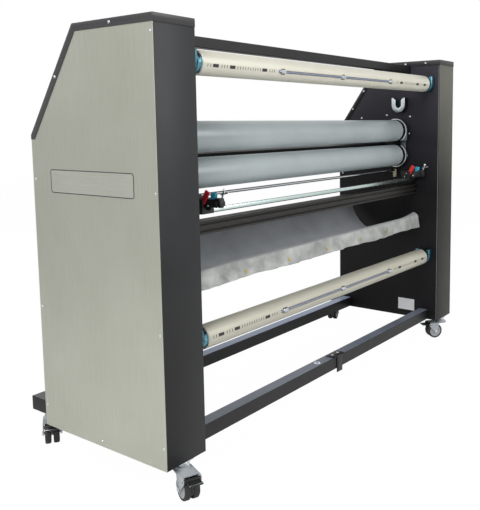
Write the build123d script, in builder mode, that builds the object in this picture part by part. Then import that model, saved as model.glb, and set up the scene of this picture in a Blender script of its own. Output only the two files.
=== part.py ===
from build123d import *
import math
import os

os.makedirs("parts", exist_ok=True)

# A wide-format roll laminator, in millimetres. X runs along the rollers, Y from the
# take-up side to the feed side, Z up. The floor is Z 0.

# Cabinets, one at each end of the rollers
overall_width = 2040.0
cabinet_width = 165.0
cabinet_depth = 590.0
cabinet_height = 1320.0
cabinet_y = -32.6
caster_height = 105.0
top_depth = 353.0
slope_drop = 335.0
skin = 1.5
casing_sheet = 1.5
panel_sheet = 1.5
plate_thickness = 5.0
cap_flange = 25.0
cap_lip = 15.0

outer_x = overall_width / 2
inner_x = outer_x - cabinet_width
rear_y = cabinet_y - cabinet_depth / 2
front_y = cabinet_y + cabinet_depth / 2
cabinet_z = caster_height
top_z = cabinet_z + cabinet_height
slope_top_y = rear_y + top_depth
slope_angle = math.atan2(slope_drop, cabinet_depth - top_depth)
panel_face_x = outer_x - skin

# Laminating rollers
roller_length = 1590.0
roller_radius = 53.5
sleeve_wall = 10.0
core_wall = 6.0
roller_y = cabinet_y - 72.4
nip_z = cabinet_z + 910.0
nip_gap = 18.0
journal_radius = 15.0
journal_stop = 4.0
journal_recess = 7.0
upper_z = nip_z + nip_gap / 2 + roller_radius
lower_z = nip_z - nip_gap / 2 - roller_radius
lift_travel = 10.0

# Roller bearing blocks, lift cylinders and the drive
housing_radius = 60.0
housing_flat = 50.0
housing_sheet = 12.0
housing_reach = 37.0
housing_hub_radius = 40.0
guide_sheet = 8.0
guide_half_width = 38.0
guide_rise = 150.0
slot_end_gap = 2.0
neck_width = 44.0
neck_height = 60.0
neck_length = 40.0
lower_hub_radius = 30.0
lower_hub_length = 12.0
cylinder_radius = 22.0
cylinder_height = 110.0
cylinder_gap = 5.0
rod_radius = 7.0
rod_reach = 70.0
gearbox_size = 90.0
gearbox_length = 60.0
gear_motor_radius = 38.0
gear_motor_length = 150.0

# Supply and take-up shafts
shaft_length = 1590.0
shaft_radius = 39.0
shaft_wall = 12.0
supply_y = cabinet_y - 229.4
supply_z = cabinet_z + 1202.0
take_up_y = cabinet_y - 225.4
take_up_z = cabinet_z + 336.4
hub_radius = 33.0
hub_width = 16.0
shaft_journal_radius = 15.0
tenon_radius = 10.0
tenon_reach = 28.0
tenon_clearance = 5.0
hub_end_gap = 3.0
grip_spacing = 395.0
grip_length = 24.0
grip_radius = 8.0
grip_rod_radius = 3.0
grip_depth = 37.5
grip_play = 1.9
grip_end_gap = 1.0
supply_grip_angle = 193.0
take_up_grip_angle = 175.0
drive_radius = 45.0
drive_length = 60.0
drive_wall_gap = 1.0

# Open cups on the frame plates: for both shafts, and for a liner shaft
liner_y = cabinet_y - 82.4
liner_z = cabinet_z + 1102.4
cup_radius = 37.0
cup_arm = 36.0
cup_thickness = 36.0
cup_mouth = 28.0
cup_funnel = 13.0

# Cross beams
beam_size = 50.0
beam_wall = 3.0
top_beam_size = 36.0
top_beam_y = cabinet_y - 116.0
top_beam_z = cabinet_z + 1281.0
beam_lift = 2.0
rear_beam_y = cabinet_y - 218.0
front_beam_y = cabinet_y + 248.0
clamp_width = 80.0
clamp_sheet = 4.0
clamp_drop = 66.0
clamp_reach = 40.0

# Slitter: an extruded beam, a rail and two knife carriages
slitter_beam_size = 45.0
slitter_beam_y = cabinet_y - 150.0
slitter_beam_z = cabinet_z + 676.5
slot_width = 8.0
slot_depth = 9.0
rail_height = 16.0
rail_thickness = 12.0
rail_foot_height = 19.0
rail_foot_length = 30.0
rail_y = cabinet_y - 146.0
left_knife_x = -683.0
right_knife_x = 812.0
carriage_width = 56.0
carriage_wall = 14.0
carriage_height = 52.0
knife_arm_reach = 46.0
knife_arm_width = 24.0
knife_arm_height = 28.0
blade_radius = 24.0
blade_guard_width = 10.0
knife_knob_radius = 15.0
knife_knob_length = 20.0
knife_stud_radius = 4.0

# Guide rod under the lower roller
guide_y = cabinet_y - 55.4
guide_z = cabinet_z + 768.0
guide_radius = 6.0
sleeve_radius = 9.0
sleeve_height = 40.0
sleeve_drop = 14.0
sleeve_inset = 17.0

# Catch tray: two bars and a fabric hammock between them
tray_bar_radius = 11.0
rear_bar_y = cabinet_y - 180.0
rear_bar_z = cabinet_z + 531.0
front_bar_y = cabinet_y + 197.6
front_bar_z = cabinet_z + 585.0
fabric_half_width = 805.0
fabric_thickness = 2.4
fabric_gap = 0.4
fabric_low_y = cabinet_y - 3.0
fabric_low_z = cabinet_z + 440.0
hem_drop = 51.0
hem_flare = 9.0
front_flap_drop = 40.0

# Feed table and its brackets
table_top_z = nip_z - 2.0
table_depth = 28.0
table_sheet = 2.0
table_rear_y = cabinet_y + 4.0
table_front_y = cabinet_y + 425.0
table_side_gap = 4.0
table_hinge_y = cabinet_y + 29.0
table_hinge_drop = 36.0
hinge_pin_radius = 5.0
hinge_lug_radius = 11.0
hinge_lug_width = 18.0
bracket_width = 25.0
bracket_length = 250.0
bracket_height = 26.0

# Control panel on the slope of the right cabinet
panel_width = 110.0
panel_length = 240.0
panel_thickness = 4.0
stop_offset = 80.0
dial_offset = 15.0
switch_offset = -50.0
control_shift = 10.0
stop_radius = 17.0
stop_cap_height = 14.0
stop_collar_radius = 12.0
stop_travel = 5.0
dial_radius = 12.0
dial_height = 15.0
switch_radius = 11.0
switch_height = 9.0
pointer_width = 2.0
pointer_height = 1.0
stem_radius = 5.0
stem_end_gap = 0.5
edge_round = 0.4
control_gap = 0.5

# Feet, casters and inlet
foot_width = 70.0
foot_height = 50.0
foot_wall = 3.0
foot_reach = 150.0
rear_caster_y = cabinet_y - 275.0
front_caster_y = cabinet_y + 385.0
wheel_radius = 37.5
wheel_width = 20.0
wheel_gap = 8.0
wheel_hub_radius = 10.0
axle_radius = 4.0
fork_side_gap = 3.0
fork_sheet = 3.0
fork_clearance = 3.0
trail = 38.0
swivel_radius = 23.0
swivel_height = 8.0
raceway_radius = 21.0
raceway_gap = 0.4
kingpin_radius = 6.0
caster_plate = 60.0
caster_plate_sheet = 3.0
pedal_pivot_reach = 30.0
pedal_pivot_z = 71.0
pedal_pin_radius = 3.0
pedal_barrel_radius = 5.0
pedal_width = 42.0
pedal_length = 34.0
pedal_thickness = 5.0
running_fit = 0.05
sliding_gap = 0.3
inlet_x = outer_x - 82.0
inlet_z = cabinet_z + 110.0
inlet_width = 50.0
inlet_height = 32.0
inlet_depth = 30.0
inlet_rim = 4.0
inlet_wall = 3.0
inlet_floor = 6.0
inlet_pin_width = 2.0
inlet_pin_height = 5.0
inlet_pin_spacing = 8.0

# Screws and plates
screw_radius = 5.0
screw_height = 2.0
name_plate_length = 396.0
name_plate_height = 77.0
name_plate_y = cabinet_y + 1.0
name_plate_z = cabinet_z + 838.4
name_plate_sheet = 1.0


# Shared helpers

def finish(piece, name):
    """Label a finished piece and write it."""
    piece.label = name
    export_step(piece, f"parts/{name}.step")


def block(x0, x1, y0, y1, z0, z1, mode=Mode.ADD):
    """A box between two corners."""
    with Locations(((x0 + x1) / 2, (y0 + y1) / 2, (z0 + z1) / 2)):
        Box(abs(x1 - x0), abs(y1 - y0), abs(z1 - z0), mode=mode)


def bar(x0, x1, y, z, radius, mode=Mode.ADD):
    """A round bar along X."""
    with Locations(((x0 + x1) / 2, y, z)):
        Cylinder(radius, abs(x1 - x0), rotation=(0, 90, 0), mode=mode)


def slab(side, near, far):
    """Plane of a slab on one side of the machine, square to X, and its thickness."""
    return Plane.YZ.offset(min(side * near, side * far)), abs(far - near)


def slope_y(z, inset):
    """Y of the cabinet's slope at a height, set in from the outer skin."""
    return slope_top_y + (top_z - z) / math.tan(slope_angle) - inset / math.sin(slope_angle)


def slope_z(y, inset):
    """Height of the cabinet's slope at a Y, set in from the outer skin."""
    return top_z - (y + inset / math.sin(slope_angle) - slope_top_y) * math.tan(slope_angle)


def side_outline(inset, base):
    """Side outline of a cabinet, set in from its outer skin and cut off at a base."""
    rear = rear_y + inset
    front = front_y - inset
    top = top_z - inset
    return [
        (rear, base), (front, base), (front, slope_z(front, inset)), (slope_y(top, inset), top), (rear, top),
    ]


sides = ((-1, "left"), (1, "right"))
slot_half = neck_width / 2 + sliding_gap
core_radius = roller_radius - sleeve_wall
housing_near_x = inner_x - housing_reach
housing_far_x = housing_near_x + housing_sheet
neck_end_x = inner_x + neck_length
plate_far_x = inner_x + plate_thickness
lower_hub_x = plate_far_x + lower_hub_length
rod_x = plate_far_x + cylinder_radius
foot_x = outer_x - cabinet_width / 2
front_low_z = slope_z(front_y, 0) - cap_lip

# Plane of the control panel on the right cabinet's slope, and where its controls stand
slope_mid_z = (top_z + slope_z(front_y, 0)) / 2
normal = (0, math.sin(slope_angle), math.cos(slope_angle))
panel_plane = Plane(origin=(foot_x, slope_y(slope_mid_z, 0), slope_mid_z), x_dir=(1, 0, 0), z_dir=normal)
control_plane = panel_plane.offset(panel_thickness)
control_spots = [(control_shift, stop_offset), (control_shift, dial_offset), (control_shift, switch_offset)]

# Frame plates, with the lift slot, the bearing hole and the drive holes
for side, hand in sides:
    with BuildPart() as frame_plate:
        plane, thickness = slab(side, inner_x, plate_far_x)
        with BuildSketch(plane):
            Polygon(*side_outline(skin + casing_sheet, cabinet_z + casing_sheet), align=None)
            with Locations((roller_y, lower_z)):
                Circle(lower_hub_radius, mode=Mode.SUBTRACT)
            with Locations((roller_y, upper_z - (nip_gap - lift_travel) / 2)):
                slot_height = neck_height + nip_gap + lift_travel + 2 * slot_end_gap
                Rectangle(2 * slot_half, slot_height, mode=Mode.SUBTRACT)
            if side > 0:
                with Locations((supply_y, supply_z), (take_up_y, take_up_z)):
                    Circle(tenon_radius + tenon_clearance, mode=Mode.SUBTRACT)
        extrude(amount=thickness)
    finish(frame_plate.part, f"{hand}_frame_plate")

# Casings: rear wall, bottom and front wall in one fold
for side, hand in sides:
    rear = rear_y + skin
    front = front_y - skin
    front_in = front - casing_sheet
    with BuildPart() as casing:
        plane, thickness = slab(side, inner_x, panel_face_x - panel_sheet)
        with BuildSketch(plane):
            Polygon(
                (rear, top_z - skin),
                (rear, cabinet_z),
                (front, cabinet_z),
                (front, slope_z(front, skin)),
                (front_in, slope_z(front_in, skin)),
                (front_in, cabinet_z + casing_sheet),
                (rear + casing_sheet, cabinet_z + casing_sheet),
                (rear + casing_sheet, top_z - skin),
                align=None,
            )
        extrude(amount=thickness)
        foot_in = foot_x - foot_width / 2 - sliding_gap
        foot_out = foot_x + foot_width / 2 + sliding_gap
        foot_top = cabinet_z + casing_sheet + foot_height + sliding_gap
        block(side * foot_in, side * foot_out, front_in - 1, front + 1, cabinet_z, foot_top, Mode.SUBTRACT)
        if side > 0:
            half_w = inlet_width / 2 - inlet_rim
            half_h = inlet_height / 2 - inlet_rim
            block(
                inlet_x - half_w, inlet_x + half_w, front_in - 1, front + 1,
                inlet_z - half_h, inlet_z + half_h, Mode.SUBTRACT,
            )
    finish(casing.part, f"{hand}_casing")

# Side panels
for side, hand in sides:
    with BuildPart() as side_panel:
        plane, thickness = slab(side, panel_face_x - panel_sheet, panel_face_x)
        with BuildSketch(plane):
            Polygon(*side_outline(skin, cabinet_z), align=None)
        extrude(amount=thickness)
    finish(side_panel.part, f"{hand}_side_panel")

# Top caps, folded over the level top and the slope
for side, hand in sides:
    flange_z = top_z - cap_flange
    with BuildPart() as top_cap:
        plane, thickness = slab(side, inner_x - skin, outer_x)
        with BuildSketch(plane):
            Polygon(
                (rear_y, flange_z),
                (rear_y, top_z),
                (slope_top_y, top_z),
                (front_y, slope_z(front_y, 0)),
                (front_y, front_low_z),
                (slope_y(front_low_z, cap_flange), front_low_z),
                (slope_y(flange_z, cap_flange), flange_z),
                align=None,
            )
        extrude(amount=thickness)
        plane, thickness = slab(side, inner_x, panel_face_x)
        with BuildSketch(plane):
            Polygon(*side_outline(skin, front_low_z - cap_flange), align=None)
        extrude(amount=thickness, mode=Mode.SUBTRACT)
        notch = top_beam_size / 2 + sliding_gap
        block(
            side * (inner_x - skin), side * inner_x, top_beam_y - notch, top_beam_y + notch,
            flange_z, top_beam_z + notch, Mode.SUBTRACT,
        )
        if side > 0:
            with BuildSketch(panel_plane.offset(-2 * skin)):
                with Locations(*control_spots):
                    Circle(stem_radius + stem_end_gap)
            extrude(amount=3 * skin, mode=Mode.SUBTRACT)
    finish(top_cap.part, f"{hand}_top_cap")

# Bare plate on the left side panel
with BuildPart() as name_plate:
    plane, thickness = slab(-1, panel_face_x, panel_face_x + name_plate_sheet)
    with BuildSketch(plane):
        with Locations((name_plate_y, name_plate_z)):
            RectangleRounded(name_plate_length, name_plate_height, name_plate_height / 8)
    extrude(amount=thickness)
finish(name_plate.part, "name_plate")

# Feet: a tube under each cabinet that carries both of its casters
with BuildPart() as base_feet:
    foot_rear = rear_y + skin + casing_sheet
    foot_front = front_y + foot_reach
    foot_base = cabinet_z + casing_sheet
    for side, hand in sides:
        near = side * (foot_x - foot_width / 2)
        far = side * (foot_x + foot_width / 2)
        block(near, far, foot_rear, foot_front, foot_base, foot_base + foot_height)
        block(
            near + side * foot_wall, far - side * foot_wall, foot_rear, foot_front - foot_wall,
            foot_base + foot_wall, foot_base + foot_height - foot_wall, Mode.SUBTRACT,
        )
finish(base_feet.part, "base_feet")

# Cross beams


def square_tube(y, z, size, wall, name):
    """A square tube from frame plate to frame plate."""
    with BuildPart() as beam:
        with BuildSketch(Plane.YZ.offset(-inner_x)):
            with Locations((y, z)):
                RectangleRounded(size, size, wall)
                Rectangle(size - 2 * wall, size - 2 * wall, mode=Mode.SUBTRACT)
        extrude(amount=2 * inner_x)
    finish(beam.part, name)


low_beam_z = cabinet_z + beam_lift + beam_size / 2
square_tube(top_beam_y, top_beam_z, top_beam_size, beam_wall, "top_beam")
square_tube(front_beam_y, low_beam_z, beam_size, beam_wall, "front_lower_beam")
square_tube(rear_beam_y, low_beam_z, beam_size, beam_wall, "rear_lower_beam")

# Clamp bracket at the middle of the rear beam
clamp_rear = rear_beam_y - beam_size / 2
clamp_top = low_beam_z + beam_size / 2
with BuildPart() as beam_clamp:
    block(
        -clamp_width / 2, clamp_width / 2, clamp_rear - clamp_sheet, clamp_rear + clamp_reach,
        clamp_top, clamp_top + clamp_sheet,
    )
    block(
        -clamp_width / 4, clamp_width / 4, clamp_rear - clamp_sheet, clamp_rear,
        clamp_top - clamp_drop, clamp_top,
    )
finish(beam_clamp.part, "beam_clamp")

# Laminating rollers: a steel tube with journals, and a silicone sleeve on it
upper_end = neck_end_x - journal_recess
journal_ends = {"upper": (upper_end, upper_end), "lower": (lower_hub_x, lower_hub_x + gearbox_length)}
for name, axis_z in (("upper", upper_z), ("lower", lower_z)):
    half = roller_length / 2
    left_end, right_end = journal_ends[name]
    with BuildPart() as core:
        bar(-half - journal_stop, half + journal_stop, roller_y, axis_z, core_radius)
        bar(-half + core_wall, half - core_wall, roller_y, axis_z, core_radius - core_wall, Mode.SUBTRACT)
        bar(-left_end, -half + core_wall, roller_y, axis_z, journal_radius)
        bar(half - core_wall, right_end, roller_y, axis_z, journal_radius)
    finish(core.part, f"{name}_roller_core")
    with BuildPart() as sleeve:
        bar(-half, half, roller_y, axis_z, roller_radius)
        bar(-half, half, roller_y, axis_z, core_radius, Mode.SUBTRACT)
    finish(sleeve.part, f"{name}_roller_sleeve")

# Upper bearing blocks, which slide in the frame plates, with their lift rods
with BuildPart() as upper_blocks:
    for side, hand in sides:
        near = side * housing_near_x
        far = side * housing_far_x
        bar(near, far, roller_y, upper_z, housing_radius)
        block(
            near, far, roller_y - housing_radius, roller_y + housing_radius, upper_z - housing_radius, upper_z,
        )
        block(
            near, far, roller_y - housing_radius, roller_y + housing_radius,
            upper_z - 2 * housing_radius, upper_z - housing_flat, Mode.SUBTRACT,
        )
        bar(far, side * (inner_x - guide_sheet - sliding_gap), roller_y, upper_z, housing_hub_radius)
        block(
            far, side * neck_end_x, roller_y - neck_width / 2, roller_y + neck_width / 2,
            upper_z - neck_height / 2, upper_z + neck_height / 2,
        )
        bar(near, side * neck_end_x, roller_y, upper_z, journal_radius + running_fit, Mode.SUBTRACT)
        rod_base = upper_z + neck_height / 2
        with Locations((side * rod_x, roller_y, rod_base + rod_reach / 2)):
            Cylinder(rod_radius, rod_reach)
finish(upper_blocks.part, "upper_bearing_blocks")

# Lower bearing blocks, fixed to the frame plates, each with a guide for the upper block
with BuildPart() as lower_blocks:
    for side, hand in sides:
        near = side * housing_near_x
        far = side * housing_far_x
        bar(near, far, roller_y, lower_z, housing_radius)
        block(
            near, far, roller_y - housing_radius, roller_y + housing_radius,
            lower_z + housing_flat, lower_z + housing_radius, Mode.SUBTRACT,
        )
        bar(far, side * inner_x, roller_y, lower_z, housing_hub_radius)
        guide_near = side * (inner_x - guide_sheet)
        block(
            guide_near, side * inner_x, roller_y - guide_half_width, roller_y + guide_half_width,
            lower_z, lower_z + guide_rise,
        )
        block(
            guide_near, side * inner_x, roller_y - slot_half, roller_y + slot_half,
            upper_z - nip_gap - neck_height / 2 - slot_end_gap, lower_z + guide_rise, Mode.SUBTRACT,
        )
        bar(side * inner_x, side * lower_hub_x, roller_y, lower_z, lower_hub_radius)
        bar(near, side * lower_hub_x, roller_y, lower_z, journal_radius + running_fit, Mode.SUBTRACT)
finish(lower_blocks.part, "lower_bearing_blocks")

# Lift cylinders behind the frame plates
cylinder_base = upper_z + neck_height / 2 + lift_travel + cylinder_gap
with BuildPart() as lift_cylinders:
    for side, hand in sides:
        with Locations((side * rod_x, roller_y, cylinder_base + cylinder_height / 2)):
            Cylinder(cylinder_radius, cylinder_height)
        block(
            side * plate_far_x, side * rod_x, roller_y - cylinder_radius, roller_y + cylinder_radius,
            cylinder_base, cylinder_base + cylinder_height,
        )
        bore_height = cylinder_height - cylinder_radius / 2
        with Locations((side * rod_x, roller_y, cylinder_base + bore_height / 2)):
            Cylinder(rod_radius + sliding_gap, bore_height, mode=Mode.SUBTRACT)
finish(lift_cylinders.part, "lift_cylinders")

# Gear motor on the lower roller's right journal
with BuildPart() as gear_motor:
    half = gearbox_size / 2
    gearbox_far = lower_hub_x + gearbox_length
    block(lower_hub_x, gearbox_far, roller_y - half, roller_y + half, lower_z - half, lower_z + half)
    motor_x = lower_hub_x + gearbox_length / 2
    with Locations((motor_x, roller_y, lower_z - half - gear_motor_length / 2)):
        Cylinder(gear_motor_radius, gear_motor_length)
    bar(lower_hub_x, gearbox_far, roller_y, lower_z, journal_radius + running_fit, Mode.SUBTRACT)
finish(gear_motor.part, "gear_motor")

# Supply and take-up shafts: a tube with a groove and three pockets, two hubs, and a
# grip bar that lies in the groove with a grip in each pocket
groove_end = grip_spacing + grip_length
grip_xs = (-grip_spacing, 0, grip_spacing)
hollows = (
    ((0,), 2 * groove_end, grip_rod_radius),
    (grip_xs, grip_length + 2 * grip_end_gap, grip_radius),
)
for name, y, z, grip_angle in (
    ("supply", supply_y, supply_z, supply_grip_angle),
    ("take_up", take_up_y, take_up_z, take_up_grip_angle),
):
    half = shaft_length / 2
    turn = Location((0, y, z), (grip_angle, 0, 0))
    with BuildPart() as tube:
        bar(-half, half, y, z, shaft_radius)
        bar(-half, half, y, z, shaft_radius - shaft_wall, Mode.SUBTRACT)
        chamfer(tube.edges().filter_by(GeomType.CIRCLE).group_by(SortBy.RADIUS)[-1], shaft_wall / 6)
        for xs, length, radius in hollows:
            floor = grip_depth - radius - control_gap
            with Locations(turn):
                with Locations(*[(x, floor + shaft_radius / 2, 0) for x in xs]):
                    Box(length, shaft_radius, 2 * (radius + grip_play + sliding_gap), mode=Mode.SUBTRACT)
    finish(tube.part, f"{name}_shaft_tube")
    with BuildPart() as hubs:
        for side, hand in sides:
            bar(side * half, side * (half + hub_width), y, z, hub_radius)
            bar(side * (half + hub_width), side * (inner_x - hub_end_gap), y, z, shaft_journal_radius)
        bar(inner_x - hub_end_gap, inner_x + tenon_reach, y, z, tenon_radius)
    finish(hubs.part, f"{name}_shaft_hubs")
    with BuildPart() as grip_bar:
        with Locations(turn):
            with Locations((0, grip_depth, 0)):
                Cylinder(grip_rod_radius, 2 * (groove_end - grip_end_gap), rotation=(0, 90, 0))
            with Locations(*[(x, grip_depth, 0) for x in grip_xs]):
                Cylinder(grip_radius, grip_length, rotation=(0, 90, 0))
    finish(grip_bar.part, f"{name}_grip_bar")

# Open cups that carry the two shafts, and the empty pair for a liner shaft
with BuildPart() as shaft_saddles:
    slot = shaft_journal_radius + sliding_gap
    for side, hand in sides:
        near = side * (inner_x - cup_thickness)
        far = side * inner_x
        for y, z in ((supply_y, supply_z), (take_up_y, take_up_z), (liner_y, liner_z)):
            top = z + cup_arm
            bar(near, far, y, z, cup_radius)
            block(near, far, y - cup_radius, y + cup_radius, z, top)
            bar(near, far, y, z, slot, Mode.SUBTRACT)
            block(near, far, y - slot, y + slot, z, z + cup_radius, Mode.SUBTRACT)
            plane, thickness = slab(side, inner_x - cup_thickness, inner_x)
            with BuildSketch(plane):
                Polygon(
                    (y - cup_mouth, top), (y - slot, top - cup_funnel),
                    (y + slot, top - cup_funnel), (y + cup_mouth, top), align=None,
                )
            extrude(amount=thickness, mode=Mode.SUBTRACT)
finish(shaft_saddles.part, "shaft_saddles")

# Drives behind the right frame plate: the supply brake and the take-up motor
with BuildPart() as shaft_drives:
    for y, z in ((supply_y, supply_z), (take_up_y, take_up_z)):
        drive_y = max(y, rear_y + skin + casing_sheet + drive_radius + drive_wall_gap)
        bar(plate_far_x, plate_far_x + drive_length, drive_y, z, drive_radius)
        bar(plate_far_x, inner_x + tenon_reach + hub_end_gap, y, z, tenon_radius + sliding_gap, Mode.SUBTRACT)
finish(shaft_drives.part, "shaft_drives")

# Guide rod with a sleeve that hangs from each end
with BuildPart() as guide_rod:
    bar(-inner_x, inner_x, guide_y, guide_z, guide_radius)
    for side, hand in sides:
        with Locations((side * (inner_x - sleeve_inset), guide_y, guide_z - sleeve_drop)):
            Cylinder(sleeve_radius, sleeve_height)
finish(guide_rod.part, "guide_rod")

# Slitter beam: an aluminium extrusion with two slots along its near face and one on top
with BuildPart() as slitter_beam:
    near_face = slitter_beam_y - slitter_beam_size / 2
    with BuildSketch(Plane.YZ.offset(-inner_x)):
        with Locations((slitter_beam_y, slitter_beam_z)):
            Rectangle(slitter_beam_size, slitter_beam_size)
            Circle(slitter_beam_size / 6, mode=Mode.SUBTRACT)
        for height in (-slitter_beam_size / 4, slitter_beam_size / 4):
            with Locations((near_face + slot_depth / 2, slitter_beam_z + height)):
                Rectangle(slot_depth, slot_width, mode=Mode.SUBTRACT)
    extrude(amount=2 * inner_x)
finish(slitter_beam.part, "slitter_beam")

# Slitter rail, on a foot at each end
slitter_top = slitter_beam_z + slitter_beam_size / 2
rail_z = slitter_top + rail_foot_height
with BuildPart() as slitter_rail:
    half = rail_thickness / 2
    block(-inner_x, inner_x, rail_y - half, rail_y + half, rail_z, rail_z + rail_height)
    for side, hand in sides:
        end = side * inner_x
        block(end - side * rail_foot_length, end, rail_y - half, rail_y + half, slitter_top, rail_z)
finish(slitter_rail.part, "slitter_rail")

# Knife carriages: a saddle over the rail with a blade guard, an arm that reaches to the rear,
# and a clamp knob on the arm's end
carriage_top = rail_z + carriage_height
knife_knob_z = carriage_top - knife_arm_height / 2
for hand, knife_x in (("left", left_knife_x), ("right", right_knife_x)):
    x0 = knife_x - carriage_width / 2
    x1 = knife_x + carriage_width / 2
    groove = rail_thickness / 2 + sliding_gap
    guard_y = rail_y + groove + carriage_wall + blade_guard_width / 2
    with BuildPart() as carriage:
        half = groove + carriage_wall
        slot_top = rail_z + rail_height + sliding_gap
        block(x0, x1, rail_y - half, rail_y + half, rail_z + 1, carriage_top)
        block(x0, x1, rail_y - groove, rail_y + groove, rail_z, slot_top, Mode.SUBTRACT)
        fillet(carriage.edges().filter_by(Axis.X).group_by(Axis.Z)[-1], carriage_wall / 2)
        with Locations((knife_x, guard_y, carriage_top - blade_radius / 2)):
            Cylinder(blade_radius, blade_guard_width, rotation=(90, 0, 0))
        arm_end = rail_y - half - knife_arm_reach
        arm_x = knife_arm_width / 2
        block(knife_x - arm_x, knife_x + arm_x, arm_end, rail_y, carriage_top - knife_arm_height, carriage_top)
        knob_hole = knife_stud_radius + running_fit
        with Locations((knife_x, arm_end + carriage_wall / 2, knife_knob_z)):
            Cylinder(knob_hole, carriage_wall, rotation=(90, 0, 0), mode=Mode.SUBTRACT)
    finish(carriage.part, f"{hand}_knife_carriage")
    knob_near = arm_end - control_gap
    with BuildPart() as knob:
        with Locations((knife_x, knob_near - knife_knob_length / 2, knife_knob_z)):
            Cylinder(knife_knob_radius, knife_knob_length, rotation=(90, 0, 0))
        chamfer(knob.edges().filter_by(GeomType.CIRCLE), 1.5)
        stud_length = carriage_wall + control_gap - 1
        with Locations((knife_x, knob_near + stud_length / 2, knife_knob_z)):
            Cylinder(knife_stud_radius, stud_length, rotation=(90, 0, 0))
    finish(knob.part, f"{hand}_knife_knob")

# Catch tray bars
with BuildPart() as tray_bars:
    bar(-inner_x, inner_x, front_bar_y, front_bar_z, tray_bar_radius)
    bar(-inner_x, inner_x, rear_bar_y, rear_bar_z, tray_bar_radius)
finish(tray_bars.part, "tray_bars")

# Catch fabric: a hammock that loops over both bars, with a hem outside the rear bar
loop = tray_bar_radius + fabric_gap + fabric_thickness / 2
with BuildPart() as catch_sheet:
    with BuildSketch(Plane.YZ.offset(-fabric_half_width)) as hammock:
        with BuildLine() as path:
            Line((front_bar_y + loop, front_bar_z - front_flap_drop), (front_bar_y + loop, front_bar_z))
            ThreePointArc(
                (front_bar_y + loop, front_bar_z),
                (front_bar_y, front_bar_z + loop),
                (front_bar_y - loop, front_bar_z),
            )
            ThreePointArc(
                (front_bar_y - loop, front_bar_z),
                (fabric_low_y, fabric_low_z),
                (rear_bar_y + loop, rear_bar_z),
            )
            ThreePointArc(
                (rear_bar_y + loop, rear_bar_z),
                (rear_bar_y, rear_bar_z + loop),
                (rear_bar_y - loop, rear_bar_z),
            )
        trace(line_width=fabric_thickness)
    extrude(amount=2 * fabric_half_width)
    hem_sections = 13
    half = fabric_thickness / 2
    for index in range(hem_sections):
        along = -fabric_half_width + 2 * fabric_half_width * index / (hem_sections - 1)
        sway = hem_flare * (math.sin(2.3 * index) + (index / hem_sections) ** 3)
        low = rear_bar_z - hem_drop - 3 * math.cos(1.7 * index)
        with BuildSketch(Plane.YZ.offset(along)):
            Polygon(
                (rear_bar_y - loop - half, rear_bar_z),
                (rear_bar_y - loop + half, rear_bar_z),
                (rear_bar_y - loop + half - sway - hem_flare, low),
                (rear_bar_y - loop - half - sway - hem_flare, low),
                align=None,
            )
    loft(ruled=True)
finish(catch_sheet.part, "catch_sheet")

# Feed table: a folded sheet with a round nose and two hinge lugs
table_half = inner_x - table_side_gap
table_base_z = table_top_z - table_depth
hinge_z = table_top_z - table_hinge_drop
lug_x = inner_x - bracket_width - table_side_gap
with BuildPart() as feed_table:
    block(-table_half, table_half, table_rear_y, table_front_y, table_base_z, table_top_z)
    nose = feed_table.edges().filter_by(Axis.X).group_by(Axis.Y)[-1]
    fillet(nose, table_depth / 3)
    block(
        -table_half + table_sheet, table_half - table_sheet, table_rear_y + table_sheet,
        table_front_y - table_depth / 2, table_base_z, table_top_z - table_sheet, Mode.SUBTRACT,
    )
    for side, hand in sides:
        bar(side * (lug_x - hinge_lug_width), side * lug_x, table_hinge_y, hinge_z, hinge_lug_radius)
        block(
            side * (lug_x - hinge_lug_width), side * lug_x, table_hinge_y - hinge_lug_radius,
            table_hinge_y + hinge_lug_radius, hinge_z, table_top_z - table_sheet,
        )
        bar(
            side * (lug_x - hinge_lug_width), side * lug_x, table_hinge_y, hinge_z,
            hinge_pin_radius + running_fit, Mode.SUBTRACT,
        )
finish(feed_table.part, "feed_table")

# Table brackets on the frame plates, with the hinge pins
with BuildPart() as table_brackets:
    bracket_top = table_base_z - sliding_gap
    boss_radius = table_hinge_drop - table_depth - sliding_gap
    for side, hand in sides:
        block(
            side * (inner_x - bracket_width), side * inner_x, table_hinge_y, table_hinge_y + bracket_length,
            bracket_top - bracket_height, bracket_top,
        )
        bar(side * (inner_x - bracket_width), side * inner_x, table_hinge_y, hinge_z, boss_radius)
        bar(
            side * (lug_x - hinge_lug_width), side * (inner_x - bracket_width), table_hinge_y, hinge_z,
            hinge_pin_radius,
        )
finish(table_brackets.part, "table_brackets")

# Control panel on the right cabinet's slope, with a stop button, a dial and a switch
with BuildPart() as control_panel:
    with BuildSketch(panel_plane):
        RectangleRounded(panel_width, panel_length, 8)
    extrude(amount=panel_thickness)
    with BuildSketch(control_plane):
        with Locations((control_shift, stop_offset)):
            Circle(stop_collar_radius)
    extrude(amount=stop_travel)
    with BuildSketch(panel_plane):
        with Locations(*control_spots):
            Circle(stem_radius + running_fit)
    extrude(amount=panel_thickness + stop_travel, mode=Mode.SUBTRACT)
finish(control_panel.part, "control_panel")


def control(name, offset, rise, radius, height, taper, pointer):
    """A knob or button on a stem through the control panel."""
    with BuildPart() as knob:
        with BuildSketch(control_plane.offset(rise)):
            with Locations((control_shift, offset)):
                Circle(radius)
        extrude(amount=height, taper=taper)
        if pointer:
            with BuildSketch(control_plane.offset(rise + height)):
                with Locations((control_shift, offset + radius / 3)):
                    Rectangle(pointer_width, radius)
            extrude(amount=pointer_height)
        fillet(knob.faces().sort_by(Axis(panel_plane.origin, panel_plane.z_dir))[-1].edges(), edge_round)
        with BuildSketch(panel_plane.offset(stem_end_gap)):
            with Locations((control_shift, offset)):
                Circle(stem_radius)
        extrude(amount=panel_thickness + rise)
    finish(knob.part, name)


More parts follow.
